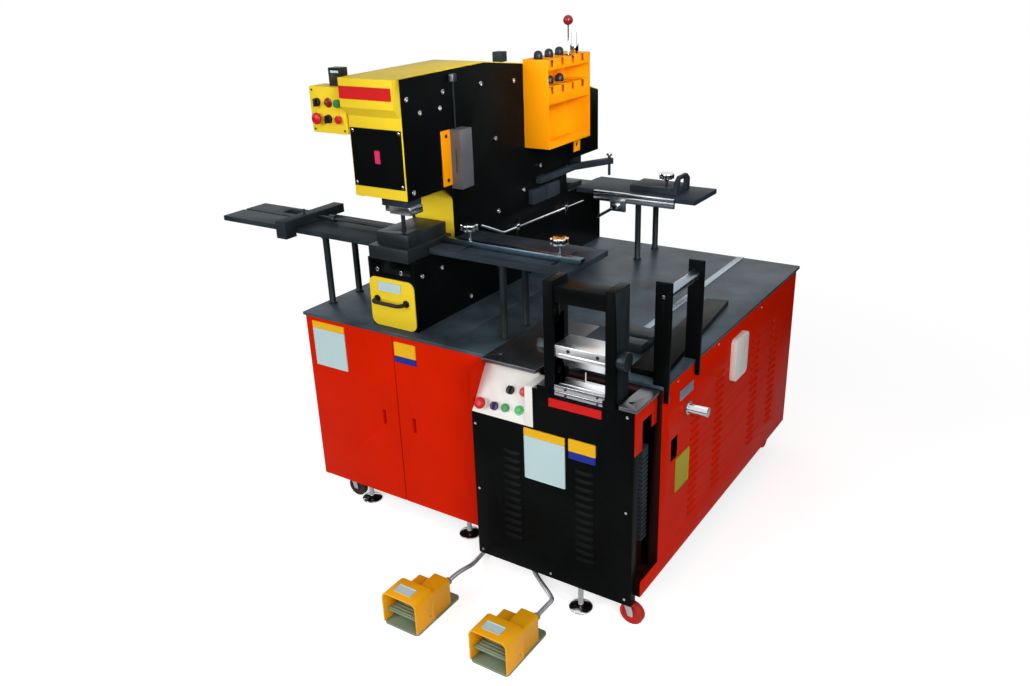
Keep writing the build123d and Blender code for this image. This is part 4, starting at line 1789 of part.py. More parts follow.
def side_fittings():
    """Fittings of the right side, and the slotted switch box of the head with its sensor mast."""
    face = PRESS_RIGHT
    front = PRESS_FRONT + SWITCH_BOX_REACH
    top = HEAD_TOP - SWITCH_BOX_DROP
    low = top - SWITCH_BOX_HEIGHT
    box = slab((face, face + SWITCH_BOX_OUT), (front, front + SWITCH_BOX_DEPTH), (low, top))
    slot = low + SWITCH_SLOT_LOW
    box -= slab((face + SWITCH_SLOT_LEFT, face + SWITCH_SLOT_LEFT + SWITCH_SLOT_WIDTH),
                (front, front + SWITCH_SLOT_DEPTH), (slot, slot + SWITCH_SLOT_HEIGHT))
    x = face + MAST_LEFT
    y = front + SWITCH_SLOT_DEPTH
    mast = rod((x, y, top), (x, y, top + MAST_HEIGHT), MAST_RADIUS)
    mast += rod((x, y, top + MAST_HEIGHT), (x, y, top + MAST_HEIGHT + MAST_CAP), MAST_CAP_RADIUS)
    return group(*wall_fittings(), wiring_duct(), box, mast)


def power_unit():
    """Oil tank with pump motor and valve block in the cabinet, and the bending cylinder under its beam."""
    top = FRAME_LOW + TANK_HEIGHT
    tank = slab((TANK_LEFT, TANK_LEFT + TANK_WIDTH), (TANK_FRONT, TANK_FRONT + TANK_DEPTH),
                (FRAME_LOW, top))
    tank = fillet(tank.edges().filter_by(Axis.Z), TANK_CORNER)
    motor = turned([(0, 0), (MOTOR_FOOT_RADIUS, 0), (MOTOR_FOOT_RADIUS, MOTOR_FOOT),
                    (MOTOR_RADIUS, MOTOR_FOOT + MOTOR_SHOULDER), (MOTOR_RADIUS, MOTOR_HEIGHT - MOTOR_CAP),
                    (MOTOR_RADIUS - MOTOR_SHOULDER, MOTOR_HEIGHT), (0, MOTOR_HEIGHT)])
    fins = [Pos(0, 0, FIN_START + step * FIN_PITCH) * Cylinder(FIN_RADIUS, FIN_THICK, align=UP)
            for step in range(FIN_COUNT)]
    motor = Pos(TANK_LEFT + MOTOR_LEFT, TANK_FRONT + MOTOR_FRONT, top) * (motor + fins)
    valve_left = TANK_LEFT + VALVE_LEFT
    valve_front = TANK_FRONT + VALVE_FRONT
    valve_top = top + VALVE_HEIGHT
    valve = slab((valve_left, valve_left + VALVE_WIDTH), (valve_front, valve_front + VALVE_DEPTH),
                 (top, valve_top))
    valve += Pos(valve_left + KNUCKLE_INSET, valve_front + KNUCKLE_FRONT, valve_top) * Cylinder(
        KNUCKLE_RADIUS, KNUCKLE_HEIGHT, align=UP)
    cylinder = rod((DIE_X, DIE_Y, FRAME_LOW + CYLINDER_FOOT), (DIE_X, DIE_Y, BEAM_LOW), CYLINDER_RADIUS)
    bottom = BEAM_LOW - DIE_TRAVEL - ROD_TAIL - CYLINDER_SPARE
    cylinder -= rod((DIE_X, DIE_Y, bottom), (DIE_X, DIE_Y, BEAM_LOW), ROD_RADIUS + RUNNING)
    return group(tank, motor, valve, cylinder)


# Foot switches

def switch_base(x):
    """A flat base with rounded corners, and the gland of the conduit on the switch's back."""
    half = SWITCH_WIDTH / 2
    base = slab((x - half, x + half), (SWITCH_FRONT, SWITCH_BACK + SWITCH_BASE_TAIL), (0, SWITCH_BASE))
    base = fillet(base.edges().filter_by(Axis.Z), SWITCH_BASE_CORNER)
    gland_x = x + GLAND_SIDE
    gland = rod((gland_x, SWITCH_BACK, GLAND_LEVEL), (gland_x, SWITCH_BACK + GLAND_LENGTH, GLAND_LEVEL),
                GLAND_RADIUS)
    return group(base, gland)


def switch_hood(x):
    """The guard over the pedal, open to the front, and the low body with a raised cap behind it."""
    half = SWITCH_WIDTH / 2
    wall = SWITCH_WALL
    shell = slab((x - half, x + half), (SWITCH_FRONT, SWITCH_MOUTH), (SWITCH_BASE, SWITCH_HEIGHT))
    shell = fillet(shell.edges().filter_by(Axis.Y).group_by(Axis.Z)[-1], HOOD_CORNER)
    inside = slab((x - half + wall, x + half - wall), (SWITCH_FRONT, SWITCH_MOUTH - wall),
                  (SWITCH_BASE, SWITCH_HEIGHT - wall))
    inside = fillet(inside.edges().filter_by(Axis.Y).group_by(Axis.Z)[-1], HOOD_CORNER - wall)
    body = slab((x - half + SWITCH_BODY_INSET, x + half - SWITCH_BODY_INSET), (SWITCH_MOUTH, SWITCH_BACK),
                (SWITCH_BASE, SWITCH_BODY_HEIGHT))
    body = fillet(body.edges().filter_by(Axis.Y).group_by(Axis.Z)[-1], SWITCH_CAP_CORNER)
    right = x + half - SWITCH_BODY_INSET
    cap = slab((right - SWITCH_CAP_WIDTH, right), (SWITCH_MOUTH, SWITCH_BACK),
               (SWITCH_BASE, SWITCH_CAP_HEIGHT))
    cap = fillet(cap.edges().filter_by(Axis.Y).group_by(Axis.Z)[-1], SWITCH_CAP_CORNER)
    pin = rod((x - half, PEDAL_Y, PEDAL_PIN_LEVEL), (x + half, PEDAL_Y, PEDAL_PIN_LEVEL),
              PEDAL_PIN + RUNNING)
    return shell - inside - pin + (body + cap)


def pedal(x):
    """A ribbed pedal on a pin through the hood's walls."""
    half = SWITCH_WIDTH / 2
    side = half - PEDAL_SIDE_GAP
    y = PEDAL_Y
    z = PEDAL_PIN_LEVEL
    front = SWITCH_FRONT + PEDAL_FRONT_GAP
    high = z + PEDAL_RISE
    back = y + PEDAL_THICK
    tread = along_x([(back, high - PEDAL_THICK), (back, high), (front, high + PEDAL_TILT),
                     (front, high + PEDAL_TILT - PEDAL_THICK)], (x - side, x + side))
    ribs = []
    for step in range(PEDAL_RIBS):
        rib = front + PEDAL_RIB + step * PEDAL_RIB_PITCH
        ribs.append(slab((x - side + PEDAL_RIB, x + side - PEDAL_RIB), (rib, rib + PEDAL_RIB),
                         (high, high + PEDAL_TILT + PEDAL_RIB_RISE)))
    hub = rod((x - side, y, z), (x + side, y, z), PEDAL_HUB)
    pin = rod((x - half, y, z), (x + half, y, z), PEDAL_PIN)
    web = slab((x - side, x + side), (y - PEDAL_WEB_HALF, y + PEDAL_WEB_HALF), (z, high))
    return tread + ribs + hub + pin + web


def corner_radii(route):
    """The largest arc that each corner of a route allows."""
    radii = []
    for before, corner, after in zip(route, route[1:], route[2:]):
        arrive = Vector(*corner) - Vector(*before)
        leave = Vector(*after) - Vector(*corner)
        turn = math.radians(arrive.get_angle(leave))
        radii.append(0.45 * min(arrive.length, leave.length) / math.tan(turn / 2))
    return radii


def conduit(name, route):
    """A round tube along the route's straight runs and the arcs between them."""
    radii = corner_radii(route)
    path = FilletPolyline(*route, radius=radii)
    tube = sweep(Plane(origin=path @ 0, z_dir=path % 0) * Circle(CONDUIT_RADIUS), path)
    section = math.pi * CONDUIT_RADIUS ** 2
    print(name, "length", round(path.length), "radii", [round(radius) for radius in radii],
          "volume share", round(tube.volume / (section * path.length), 4))
    return tube


def angle_fitting(route):
    """The fitting under the base sheet that a conduit's far end runs into."""
    end = Vector(*route[-1])
    elbow = end + (end - Vector(*route[-2])).normalized() * ELBOW_LENGTH
    return rod(tuple(end), tuple(elbow), GLAND_RADIUS) + rod(tuple(elbow),
                                                             (elbow.X, elbow.Y, CABINET_LIFT),
                                                             GLAND_RADIUS)


def build_cabinet(nodes):
    """Cabinet, doors, table, feet and castors."""
    nodes["cabinet_frame"] = cabinet_frame()
    nodes["cabinet_panels"] = cabinet_panels()
    nodes["right_side_panel"] = right_side_panel()
    nodes["front_cover"] = front_cover()
    nodes["door_left"] = door(PANEL / 2, DOOR_SPLIT - PANEL, HINGE_INSET, DOOR_SPLIT - PULL_INSET)
    nodes["door_right"] = door(DOOR_SPLIT + PANEL, DOOR_RIGHT, DOOR_RIGHT - HINGE_INSET,
                               DOOR_SPLIT + PULL_INSET)
    nodes["table_plates"] = table_plates()
    nodes["steel_plates"] = steel_plates()
    nodes["levelling_feet"] = levelling_feet()
    nodes["castor_plates"] = castor_plates()
    for side, (x, y) in (("left", LEFT_SWIVEL), ("right", RIGHT_SWIVEL)):
        nodes["castor_fork_" + side] = Pos(x, y, 0) * fork()
        spot = Plane(origin=(x + CASTOR_TRAIL, y, WHEEL_LEVEL), z_dir=(0, 1, 0))
        nodes["castor_wheel_" + side] = spot * wheel()
    for side, (x, y) in (("left", LEFT_CASTOR), ("right", RIGHT_CASTOR)):
        nodes["rear_wheel_" + side] = Plane(origin=(x, y, WHEEL_LEVEL), z_dir=(1, 0, 0)) * wheel()
    nodes["power_unit"] = power_unit()


def build_press(nodes):
    """Press, its feed tables and stops, and the tool rack."""
    nodes["press_sides"] = press_sides()
    nodes["head_covers"] = head_covers()
    nodes["press_bolts"] = press_bolts()
    nodes["die_blocks"] = die_blocks()
    nodes["punch_ram"] = punch_ram()
    nodes["shear_ram"] = shear_ram()
    nodes["scrap_drawer"] = scrap_drawer()
    nodes["drawer_handle"] = drawer_handle()
    nodes["shear_arm"] = shear_arm()
    nodes["feed_tables"] = feed_tables()
    nodes["feed_supports"] = feed_supports()
    nodes["clamp_lever"] = clamp_lever()
    nodes["fence_bar"] = fence_bar()
    nodes["fence_knob_left"] = fence_knob(FENCE_STEM_LEFT)
    nodes["fence_knob_right"] = fence_knob(FENCE_STEM_RIGHT)
    nodes["stop_beam"] = stop_beam()
    nodes["stop_rod"] = stop_rod()
    nodes["rear_stop"] = rear_stop()
    knob = star_knob(FEED_TOP + PANEL, FEED_TOP + REAR_KNOB_RISE)
    nodes["rear_stop_knob"] = Pos(REAR_KNOB_X, REAR_KNOB_Y, 0) * knob
    nodes["tool_rack"] = tool_rack()
    nodes["rack_tools"] = rack_tools()


def build_station(nodes):
    """Bending gate, roller stand, controls and side fittings."""
    nodes["bending_gate"] = bending_gate()
    nodes["bending_die"] = bending_die()
    nodes["stand_frame"] = stand_frame()
    nodes["stand_roller"] = stand_roller()
    nodes["console_box"] = console_box()
    nodes["console_selector"] = CONSOLE_SELECTOR * turn_switch(SELECTOR_WIDTH, SELECTOR_RISE)
    nodes["console_mushroom"] = CONSOLE_MUSHROOM * mushroom()
    nodes["console_key_switch"] = CONSOLE_KEY * turn_switch(KEY_WIDTH, KEY_RISE)
    nodes["console_green_button"] = CONSOLE_BUTTON * push_button()
    nodes["control_boxes"] = control_boxes()
    nodes["head_selector"] = HEAD_SELECTOR * turn_switch(SELECTOR_WIDTH, SELECTOR_RISE)
    nodes["head_green_button"] = HEAD_GREEN * push_button()
    nodes["head_mushroom"] = HEAD_MUSHROOM * mushroom()
    nodes["head_key_switch"] = HEAD_KEY * turn_switch(KEY_WIDTH, KEY_RISE)
    nodes["head_red_button"] = HEAD_RED * push_button()
    nodes["side_fittings"] = side_fittings()


def build_switches(nodes):
    """Both foot switches with the fittings of their conduits."""
    switches = (SWITCH_LEFT_X, SWITCH_RIGHT_X)
    nodes["foot_switch_bases"] = group(*(switch_base(x) for x in switches),
                                       angle_fitting(LEFT_ROUTE), angle_fitting(RIGHT_ROUTE))
    nodes["foot_switch_hoods"] = group(*(switch_hood(x) for x in switches))
    nodes["pedal_left"] = pedal(SWITCH_LEFT_X)
    nodes["pedal_right"] = pedal(SWITCH_RIGHT_X)


def main():
    nodes = {}
    build_cabinet(nodes)
    build_press(nodes)
    build_station(nodes)
    build_switches(nodes)

    bounds = [piece.bounding_box() for piece in nodes.values()]
    middle_x = (min(box.min.X for box in bounds) + max(box.max.X for box in bounds)) / 2
    middle_y = (min(box.min.Y for box in bounds) + max(box.max.Y for box in bounds)) / 2
    shift = (-middle_x, -middle_y, -min(box.min.Z for box in bounds))
    print("shift", [round(value, 4) for value in shift])

    nodes["conduit_left"] = conduit("conduit_left", LEFT_ROUTE)
    nodes["conduit_right"] = conduit("conduit_right", RIGHT_ROUTE)

    os.makedirs("parts", exist_ok=True)
    for name, piece in nodes.items():
        export_step(Pos(*shift) * piece, "parts/" + name + ".step")
    return nodes, shift


main()
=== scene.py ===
import json
import math

import bpy
from mathutils import Matrix, Vector


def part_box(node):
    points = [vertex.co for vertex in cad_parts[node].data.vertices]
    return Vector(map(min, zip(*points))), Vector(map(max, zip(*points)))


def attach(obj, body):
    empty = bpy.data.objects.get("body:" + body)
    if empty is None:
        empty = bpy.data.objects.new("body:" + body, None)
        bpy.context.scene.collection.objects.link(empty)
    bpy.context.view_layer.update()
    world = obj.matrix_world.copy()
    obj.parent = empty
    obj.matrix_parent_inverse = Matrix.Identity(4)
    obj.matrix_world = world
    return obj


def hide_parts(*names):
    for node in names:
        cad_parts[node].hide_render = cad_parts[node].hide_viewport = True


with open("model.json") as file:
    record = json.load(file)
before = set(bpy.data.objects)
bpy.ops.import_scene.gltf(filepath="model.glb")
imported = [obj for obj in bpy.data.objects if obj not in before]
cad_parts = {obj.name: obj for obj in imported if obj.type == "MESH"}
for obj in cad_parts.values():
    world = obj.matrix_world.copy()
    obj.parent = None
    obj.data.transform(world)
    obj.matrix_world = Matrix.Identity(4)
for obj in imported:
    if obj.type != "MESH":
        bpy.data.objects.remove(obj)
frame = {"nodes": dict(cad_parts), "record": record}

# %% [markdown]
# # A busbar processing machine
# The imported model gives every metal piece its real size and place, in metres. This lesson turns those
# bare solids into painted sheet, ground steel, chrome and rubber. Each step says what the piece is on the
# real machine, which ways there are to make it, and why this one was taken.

FRAME_CORNER = Vector((2, -92, 115)) / 1000
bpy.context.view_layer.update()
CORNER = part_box("cabinet_frame")[0] - FRAME_CORNER


def at(x, y, z):
    """A point in millimetres from the cabinet's front left corner on the floor, as a place in the frame."""
    return CORNER + Vector((x, y, z)) / 1000



print("the drawing's corner lies at", [round(value, 4) for value in CORNER])

# %% [markdown]
# ## Helpers for modelling by operators
# An operator works on whatever is selected, and the loader leaves the solids selected. So each helper first
# clears the selection. A new block starts as a cube of the right size, and its place is applied at once,
# because a finished piece keeps its object at the origin.

# %% Selecting, adding and finishing a piece
SHARP_EDGE = math.radians(32)
SMOOTH_LIMIT = math.radians(34)


def only(piece):
    """Selects one object and makes it the active one."""
    bpy.ops.object.select_all(action="DESELECT")
    piece.select_set(True)
    bpy.context.view_layer.objects.active = piece


def settle(piece):
    """Moves an object's place, turn and scale into its mesh."""
    only(piece)
    bpy.ops.object.transform_apply(location=True, rotation=True, scale=True)


def apply_modifier(piece, kind, **values):
    """Adds a modifier, sets its values and applies it."""
    modifier = piece.modifiers.new(kind.title(), kind)
    for name, value in values.items():
        setattr(modifier, name, value)
    only(piece)
    bpy.ops.object.modifier_apply(modifier=modifier.name)


def round_edges(piece, width, segments=2):
    """Breaks the sharp edges, as a deburred or painted piece has them, and shades the curves smooth."""
    if width:
        apply_modifier(piece, "BEVEL", width=width / 1000, segments=segments, limit_method="ANGLE",
                       angle_limit=SHARP_EDGE, use_clamp_overlap=False, harden_normals=False)
    only(piece)
    bpy.ops.object.shade_smooth_by_angle(angle=SMOOTH_LIMIT)


def block(name, low, high):
    """A cube between two corners in drawing millimetres."""
    low, high = at(*low), at(*high)
    bpy.ops.object.select_all(action="DESELECT")
    bpy.ops.mesh.primitive_cube_add(size=1, location=(low + high) / 2)
    piece = bpy.context.object
    piece.name = name
    piece.scale = high - low
    settle(piece)
    return piece


def disc(name, centre, radius, depth, direction, sides=40):
    """A cylinder whose middle lies at a drawing point, turned to a direction."""
    bpy.ops.object.select_all(action="DESELECT")
    turn = Vector(direction).to_track_quat("Z", "Y").to_euler()
    bpy.ops.mesh.primitive_cylinder_add(vertices=sides, radius=radius / 1000, depth=depth / 1000,
                                        location=at(*centre), rotation=turn)
    piece = bpy.context.object
    piece.name = name
    settle(piece)
    return piece


def finish_piece(piece, material, body="machine"):
    """Gives a piece its material and its body."""
    piece.data.materials.clear()
    piece.data.materials.append(material)
    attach(piece, body)
    return piece


def join(name, pieces):
    """Several meshes as one piece."""
    bpy.ops.object.select_all(action="DESELECT")
    for piece in pieces:
        piece.select_set(True)
    bpy.context.view_layer.objects.active = pieces[0]
    bpy.ops.object.join()
    pieces[0].name = name
    return pieces[0]


# %% [markdown]
# ## Finishes
# Every finish is a small node tree on Object coordinates, so a pattern stays put when a piece moves. Paint
# has a faint orange peel and a slow change of tone. Ground steel has long scratches in one direction, and
# cast or blackened steel is mottled. All colours are linear values of what the eye sees on the machine.

# %% The node tree that all finishes share
TONE_SIZE = 6.0
TONE_DETAIL = 5.0
GRAIN_DETAIL = 3.0
GRAIN_RELIEF = 0.0006
LEAST_ROUGH, MOST_ROUGH = 0.82, 1.18


def noise(tree, scale, detail, stretch=(1, 1, 1)):
    """A noise texture on Object coordinates, stretched along the axes if wanted."""
    place = tree.nodes.new("ShaderNodeTexCoord")
    mapping = tree.nodes.new("ShaderNodeMapping")
    mapping.inputs["Scale"].default_value = stretch
    texture = tree.nodes.new("ShaderNodeTexNoise")
    texture.inputs["Scale"].default_value = scale
    texture.inputs["Detail"].default_value = detail
    tree.links.new(place.outputs["Object"], mapping.inputs["Vector"])
    tree.links.new(mapping.outputs["Vector"], texture.inputs["Vector"])
    return texture.outputs["Fac"]


def ramp(tree, value, dark, light, low=0.3, high=0.7):
    """Runs a value through two colours."""
    node = tree.nodes.new("ShaderNodeValToRGB")
    node.color_ramp.elements[0].position = low
    node.color_ramp.elements[1].position = high
    node.color_ramp.elements[0].color = (*dark, 1)
    node.color_ramp.elements[1].color = (*light, 1)
    tree.links.new(value, node.inputs["Fac"])
    return node.outputs["Color"]


def spread(tree, value, low, high):
    """Runs a value between two numbers."""
    node = tree.nodes.new("ShaderNodeMapRange")
    node.inputs["To Min"].default_value = low
    node.inputs["To Max"].default_value = high
    tree.links.new(value, node.inputs["Value"])
    return node.outputs["Result"]


def bump(tree, value, strength, distance):
    """Turns a value into small relief."""
    node = tree.nodes.new("ShaderNodeBump")
    node.inputs["Strength"].default_value = strength
    node.inputs["Distance"].default_value = distance
    tree.links.new(value, node.inputs["Height"])
    return node.outputs["Normal"]


def finish(name, color, metallic, roughness, variation, grain, grain_size, stretch=(1, 1, 1),
           specular=0.12):
    """A finish: a base colour that drifts, a roughness that drifts, and a fine relief."""
    material = bpy.data.materials.new(name)
    material.use_nodes = True
    tree = material.node_tree
    shader = tree.nodes["Principled BSDF"]
    shader.inputs["Metallic"].default_value = metallic
    shader.inputs["Specular IOR Level"].default_value = specular
    slow = noise(tree, TONE_SIZE, TONE_DETAIL)
    dark = tuple(value * (1 - variation) for value in color)
    light = tuple(min(1.0, value * (1 + variation)) for value in color)
    fine = noise(tree, grain_size, GRAIN_DETAIL, stretch)
    tree.links.new(ramp(tree, slow, dark, light), shader.inputs["Base Color"])
    tree.links.new(spread(tree, fine, roughness * LEAST_ROUGH, roughness * MOST_ROUGH),
                   shader.inputs["Roughness"])
    tree.links.new(bump(tree, fine, grain, GRAIN_RELIEF), shader.inputs["Normal"])
    return material


def enamel(name, color, specular, roughness=0.36, variation=0.05, grain=0.05, grain_size=420):
    """Sprayed paint with a faint orange peel."""
    return finish(name, color, 0.0, roughness, variation, grain, grain_size, specular=specular)


def ground_steel(name, color, roughness, variation, grain, across, grain_size=90):
    """Bare steel with long scratches. across stretches the grain, so that it runs along one axis."""
    return finish(name, color, 1.0, roughness, variation, grain, grain_size, stretch=across)


def plastic(name, color, roughness=0.3, specular=0.3, grain_size=500):
    """Smooth moulded plastic, and with a fine grain size a lens."""
    return finish(name, color, 0.0, roughness, 0.05, 0.02, grain_size, specular=specular)


def field(name, color, variation=0.05, metallic=0.0):
    """A printed sheet without its print."""
    return finish(name, color, metallic, 0.4, variation, 0.02, 300)


# %% The machine's finishes
ALONG_X = (6, 60, 60)
ALONG_Y = (60, 6, 60)
FINISHES = {
    "red": enamel("red_enamel", (0.64, 0.014, 0.0006), 0.02, roughness=0.32),
    "yellow": enamel("yellow_enamel", (0.86, 0.62, 0.03), 0.02, variation=0.04),
    # Painted shade: the yellow paint darkened towards orange, for faces that look sideways: the head's side
    # flange and the tool rack.
    "orange": enamel("yellow_enamel_in_painted_shade", (0.95, 0.33, 0.003), 0.03),
    "white": enamel("console_film", (0.85, 0.83, 0.79), 0.12, 0.4, 0.03, 0.03, 500),
    "black": enamel("black_enamel", (0.003, 0.0038, 0.004), 0.03, 0.3, 0.25, 0.06, 300),
    "hood": enamel("hood_enamel", (0.93, 0.42, 0.006), 0.2, 0.32, 0.06, 0.08, 350),
    "grey": finish("grey_enamel", (0.1, 0.11, 0.12), 0.2, 0.42, 0.12, 0.08, 350),
    "green": finish("green_enamel", (0.22, 0.28, 0.19), 0.1, 0.46, 0.15, 0.15, 260),
    "box_grey": finish("switch_box", (0.17, 0.18, 0.2), 0.5, 0.42, 0.2, 0.12, 300),
    # Painted shade: the cabinet's red paint darkened almost to black, for the inner frame and the recess
    # wall of the right cheek.
    "red_in_painted_shade": finish("red_enamel_painted_shade", (0.02, 0.004, 0.003), 0.0, 0.5, 0.15, 0.1, 300),
    "black_plate": enamel("blackened_steel", (0.024, 0.033, 0.042), 0.04, 0.42, 0.4, 0.12, 260),
    "table": finish("table_steel", (0.06, 0.088, 0.11), 0.4, 0.42, 0.5, 0.3, 140, specular=0.05),
    "steel_dark": finish("tool_steel", (0.03, 0.038, 0.042), 0.6, 0.38, 0.35, 0.2, 200, specular=0.08),
    "deck": ground_steel("deck_steel", (0.2, 0.21, 0.23), 0.3, 0.25, 0.25, ALONG_Y),
    "ground": ground_steel("ground_steel", (0.6, 0.62, 0.65), 0.2, 0.12, 0.25, ALONG_X),
    "ground_y": ground_steel("ground_steel_along_y", (0.3, 0.36, 0.42), 0.24, 0.12, 0.25, ALONG_Y),
    "bright_block": ground_steel("bright_block", (0.93, 0.95, 0.97), 0.3, 0.04, 0.12, ALONG_X, 120),
    "blue_steel": ground_steel("blued_bar", (0.1, 0.15, 0.2), 0.22, 0.2, 0.2, ALONG_X),
    "chrome": finish("chrome", (0.7, 0.72, 0.75), 1.0, 0.12, 0.05, 0.03, 200),
    "conduit": finish("grey_conduit", (0.3, 0.31, 0.33), 0.85, 0.32, 0.12, 0.05, 500),
    "rubber": finish("red_tread", (0.42, 0.02, 0.015), 0.0, 0.5, 0.15, 0.2, 300, specular=0.2),
    "tread": finish("dark_tread", (0.03, 0.022, 0.022), 0.0, 0.55, 0.2, 0.2, 300, specular=0.2),
    "black_plastic": finish("black_plastic", (0.007, 0.007, 0.008), 0.0, 0.4, 0.2, 0.1, 700,
                            specular=0.25),
    "red_plastic": plastic("red_plastic", (0.6, 0.01, 0.012), roughness=0.28),
    "green_plastic": plastic("green_plastic", (0.015, 0.24, 0.06)),
    "violet": plastic("violet_plastic", (0.06, 0.03, 0.12)),
    "dark_lens": plastic("dark_red_lens", (0.22, 0.008, 0.01), 0.2, 0.4, 400),
    "rose_lens": plastic("rose_lens", (0.72, 0.07, 0.1), 0.22, grain_size=400),
    "pale_green": plastic("green_lens", (0.1, 0.5, 0.16), 0.22, grain_size=400),
    "label_pale": field("pale_field", (0.5, 0.66, 0.68), 0.03),
    "label_blue": field("blue_field", (0.012, 0.03, 0.28)),
    "label_yellow": field("yellow_field", (0.82, 0.45, 0.01), 0.04),
    "label_olive": field("olive_field", (0.4, 0.36, 0.02), 0.1),
    "label_steel": field("name_plate", (0.2, 0.27, 0.34), 0.08, metallic=0.3),
    "label_red": field("red_field", (0.6, 0.012, 0.012)),
    "label_pink": field("pink_field", (0.7, 0.03, 0.12)),
}
print(len(FINISHES), "finishes")

# %% [markdown]
# ## Dressing the solids
# A bare solid has knife edges that no real plate has. The mesh of a solid may not be changed, so each one is
# copied, its loose triangles are merged, its sharp edges get a narrow bevel, and the copy replaces the
# solid. Where a solid carries several finishes, its faces are painted by the box that they lie in. Each such
# box is named for the piece that it holds, and gives two corners in drawing millimetres.

# %% A dressed copy of a solid
WELD_REACH = 0.00001
FLAT_ENOUGH = math.radians(1)
BODY_OF = {node: body for body, nodes in frame["record"]["behaviour"]["bodies"].items() for node in nodes}


def dressed(node, finish_name, edge, parts, whole):
    """A copy of a solid with broken edges. parts pairs a finish with a box of two corners.

    A face is painted where its centre lies in the box or, with whole, where all its corners do.
    """
    source = frame["nodes"][node]
    piece = bpy.data.objects.new(node + "_dressed", source.data.copy())
    bpy.context.scene.collection.objects.link(piece)
    only(piece)
    bpy.ops.object.mode_set(mode="EDIT")
    bpy.ops.mesh.select_all(action="SELECT")
    bpy.ops.mesh.remove_doubles(threshold=WELD_REACH)
    bpy.ops.mesh.dissolve_limited(angle_limit=FLAT_ENOUGH)
    bpy.ops.object.mode_set(mode="OBJECT")
    round_edges(piece, edge)
    piece.data.materials.clear()
    piece.data.materials.append(FINISHES[finish_name])
    for polygon in piece.data.polygons:
        polygon.material_index = 0
    for index, (part_finish, box) in enumerate(parts, 1):
        piece.data.materials.append(FINISHES[part_finish])
        low, high = (at(*corner) for corner in box)
        for polygon in piece.data.polygons:
            spots = [polygon.center]
            if whole:
                spots = [piece.data.vertices[number].co for number in polygon.vertices]
            if all(low[axis] <= spot[axis] <= high[axis] for spot in spots for axis in range(3)):
                polygon.material_index = index
    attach(piece, BODY_OF[node])
    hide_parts(node)
    return piece


def dress(finish_name, edge, *nodes, parts=(), whole=False):
    """Dresses several solids alike, each edge broken by so many millimetres."""
    for node in nodes:
        piece = dressed(node, finish_name, edge, parts, whole)
        print(node, len(piece.data.polygons), "faces")


# %% Cabinet, table and covers
# The recess wall inside the right cheek gets the darkened red as painted shade.
CHEEK_INSIDE = ((1390, -70, 150), (1410, 70, 790))
GAUGE_BLOCK = ((1185, 240, 826), (1305, 410, 870))
GAUGE_RAIL = ((1190, 420, 820), (1230, 1400, 832))
dress("red", 0.6, "cabinet_panels", parts=(("red_in_painted_shade", CHEEK_INSIDE),))
dress("red", 0.6, "right_side_panel", "door_left", "door_right")
# The inner frame is red paint; its darker red is painted shade.
dress("red_in_painted_shade", 1.0, "cabinet_frame")
dress("black", 0.6, "front_cover")
dress("table", 1.2, "table_plates")
dress("deck", 1.0, "steel_plates", parts=(("steel_dark", GAUGE_BLOCK), ("ground_y", GAUGE_RAIL)))
dress("chrome", 0.6, "levelling_feet")
dress("grey", 0.8, "castor_plates")
dress("chrome", 0.6, "castor_fork_left", "castor_fork_right")
dress("rubber", 0.8, "castor_wheel_right", "rear_wheel_right", "rear_wheel_left")
dress("tread", 0.8, "castor_wheel_left")

# %% Press
PRESS_CORE = ((332, 300, 1080), (509, 500, 1290))
HEAD_CAP = ((436, 688, 1680), (484, 732, 1730))
HEAD_FLANGE = ((526, 230, 1310), (532, 290, 1510))
# The head's side flange is yellow paint; the orange on it is painted shade.
PUNCH_PLATE = ((370, 60, 1244), (515, 140, 1273))
ARM_BOLT_FOOT = ((612, 1270, 1140), (644, 1300, 1199))
ARM_BOLT_HEAD = ((612, 1270, 1226), (644, 1300, 1250))
SIDE_PIPE = ((532, 420, 1030), (548, 1215, 1131))
dress("black", 1.2, "press_sides", parts=(("steel_dark", PRESS_CORE),))
dress("yellow", 1.0, "head_covers", parts=(("black_plate", HEAD_CAP), ("orange", HEAD_FLANGE)))
dress("ground", 0.6, "press_bolts")
dress("steel_dark", 1.2, "die_blocks")
dress("black_plate", 1.0, "punch_ram", parts=(("ground", PUNCH_PLATE),))
dress("steel_dark", 1.0, "shear_ram")
dress("yellow", 1.0, "scrap_drawer")
dress("black_plastic", 0.0, "drawer_handle")
dress("black_plate", 1.2, "shear_arm",
      parts=(("chrome", ARM_BOLT_FOOT), ("chrome", ARM_BOLT_HEAD), ("chrome", SIDE_PIPE)))

# %% Feed tables and their stops
SCALE_RAIL = ((630, 1100, 1030), (1010, 1150, 1120))
dress("black_plate", 1.0, "feed_tables", "stop_beam", "rear_stop")
dress("steel_dark", 0.6, "feed_supports", parts=(("ground", SCALE_RAIL),))
dress("blue_steel", 1.0, "fence_bar")
dress("steel_dark", 1.0, "stop_rod")
dress("chrome", 1.0, "fence_knob_left", "fence_knob_right", "rear_stop_knob", "clamp_lever")

# %% Bending station and stand
GATE_BLOCK = ((1165, -100, 875), (1343, 30, 965))
GATE_KEEPER = ((1165, -95, 780), (1343, -78, 829))
GATE_BOSS = ((1371, -120, 880), (1420, 20, 1000))
PIN_HEAD = ((1090, -120, 900), (1131, 20, 990))
dress("black", 1.4, "bending_gate",
      parts=(("bright_block", GATE_BLOCK), ("ground", GATE_KEEPER), ("steel_dark", GATE_BOSS),
             ("steel_dark", PIN_HEAD)))
dress("bright_block", 1.0, "bending_die")
dress("black", 1.2, "stand_frame")
dress("ground_y", 0.8, "stand_roller")

